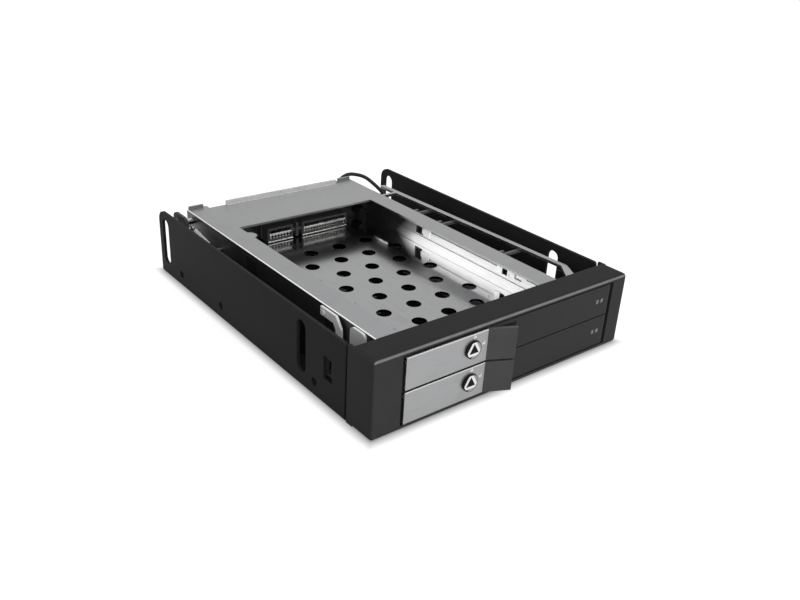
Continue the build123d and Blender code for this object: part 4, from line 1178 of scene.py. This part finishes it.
def beside_object(tree):
    """0 under the object, rising to 1 a little beside it: painted shadow on the floor, which the
    vents show black, with a soft edge.
    """
    where = parts_of(tree, tree.nodes.new("ShaderNodeTexCoord").outputs["Object"])
    low_corner, high_corner = cad_box
    shares = []
    for axis, low, high in (
        ("X", low_corner[0], high_corner[0]),
        ("Y", bezel_front, high_corner[1]),
    ):
        away = absolute(tree, number(tree, "SUBTRACT", where[axis], (low + high) / 2))
        reach = (high - low) / 2
        shares.append(rising(tree, away, reach + shadow_edge[0], reach + shadow_edge[1]))
    return number(tree, "MAXIMUM", *shares)


def seen_share(tree):
    """1 for what is seen, mirrored or seen through a clear part, 0 for other light."""
    path = tree.nodes.new("ShaderNodeLightPath")
    seen = number(tree, "MAXIMUM", path.outputs["Is Camera Ray"], path.outputs["Is Glossy Ray"])
    return number(tree, "MAXIMUM", seen, path.outputs["Is Transmission Ray"])


def make_floor():
    """White floor that keeps the object's shadow."""
    floor_mesh = bpy.data.meshes.new("floor")
    corners = ((-1, -1), (1, -1), (1, 1), (-1, 1))
    points = [(x * floor_reach, y * floor_reach, floor_height) for x, y in corners]
    floor_mesh.from_pydata(points, [], [(0, 1, 2, 3)])
    floor = bpy.data.objects.new("floor", floor_mesh)
    bpy.context.scene.collection.objects.link(floor)
    material = bpy.data.materials.new("white floor")
    material.use_nodes = True
    tree = material.node_tree
    tree.nodes.clear()
    output = tree.nodes.new("ShaderNodeOutputMaterial")
    paper = tree.nodes.new("ShaderNodeBsdfDiffuse")
    paper.inputs["Color"].default_value = (floor_grey, floor_grey, floor_grey, 1)
    lift = tree.nodes.new("ShaderNodeEmission")
    level = number(tree, "MULTIPLY", seen_share(tree), floor_lift)
    tree.links.new(number(tree, "MULTIPLY", level, beside_object(tree)), lift.inputs["Strength"])
    both = tree.nodes.new("ShaderNodeAddShader")
    tree.links.new(paper.outputs[0], both.inputs[0])
    tree.links.new(lift.outputs[0], both.inputs[1])
    tree.links.new(both.outputs[0], output.inputs["Surface"])
    floor_mesh.materials.append(material)


def white_background(tree, strength):
    """A plain white background."""
    plain = tree.nodes.new("ShaderNodeBackground")
    plain.inputs["Color"].default_value = (1, 1, 1, 1)
    plain.inputs["Strength"].default_value = strength
    return plain.outputs[0]


def make_surrounding():
    """A white surrounding that shows brighter than it lights."""
    world = bpy.data.worlds.new("studio")
    bpy.context.scene.world = world
    world.use_nodes = True
    tree = world.node_tree
    tree.nodes.clear()
    output = tree.nodes.new("ShaderNodeOutputWorld")
    pick = tree.nodes.new("ShaderNodeMixShader")
    tree.links.new(seen_share(tree), pick.inputs["Fac"])
    tree.links.new(white_background(tree, world_light), pick.inputs[1])
    tree.links.new(white_background(tree, world_shown), pick.inputs[2])
    tree.links.new(pick.outputs[0], output.inputs["Surface"])


def add_lamp(name, place, aim, size, power):
    """A square soft lamp that looks at a point."""
    light = bpy.data.lights.new(name, "AREA")
    light.shape = "SQUARE"
    light.size = size
    light.energy = power
    lamp = bpy.data.objects.new(name, light)
    direction = Vector(aim) - Vector(place)
    turn = direction.to_track_quat("-Z", "Y").to_matrix().to_4x4()
    lamp.matrix_world = Matrix.Translation(place) @ turn
    bpy.context.scene.collection.objects.link(lamp)


place_camera()
finish_frame()
coil = coil_tree()
make_lever_springs(coil)
make_side_spring(coil)
make_lock_faces()
make_lock_marks()
make_cover_edges()
make_wall_tabs()
make_hole_shades()
make_board_details()
make_floor()
make_surrounding()
for lamp_name, lamp_place, lamp_side, lamp_power in lamps:
    add_lamp(lamp_name, lamp_place, lamp_aim, lamp_side, lamp_power)
bpy.context.scene.view_settings.view_transform = "Standard"
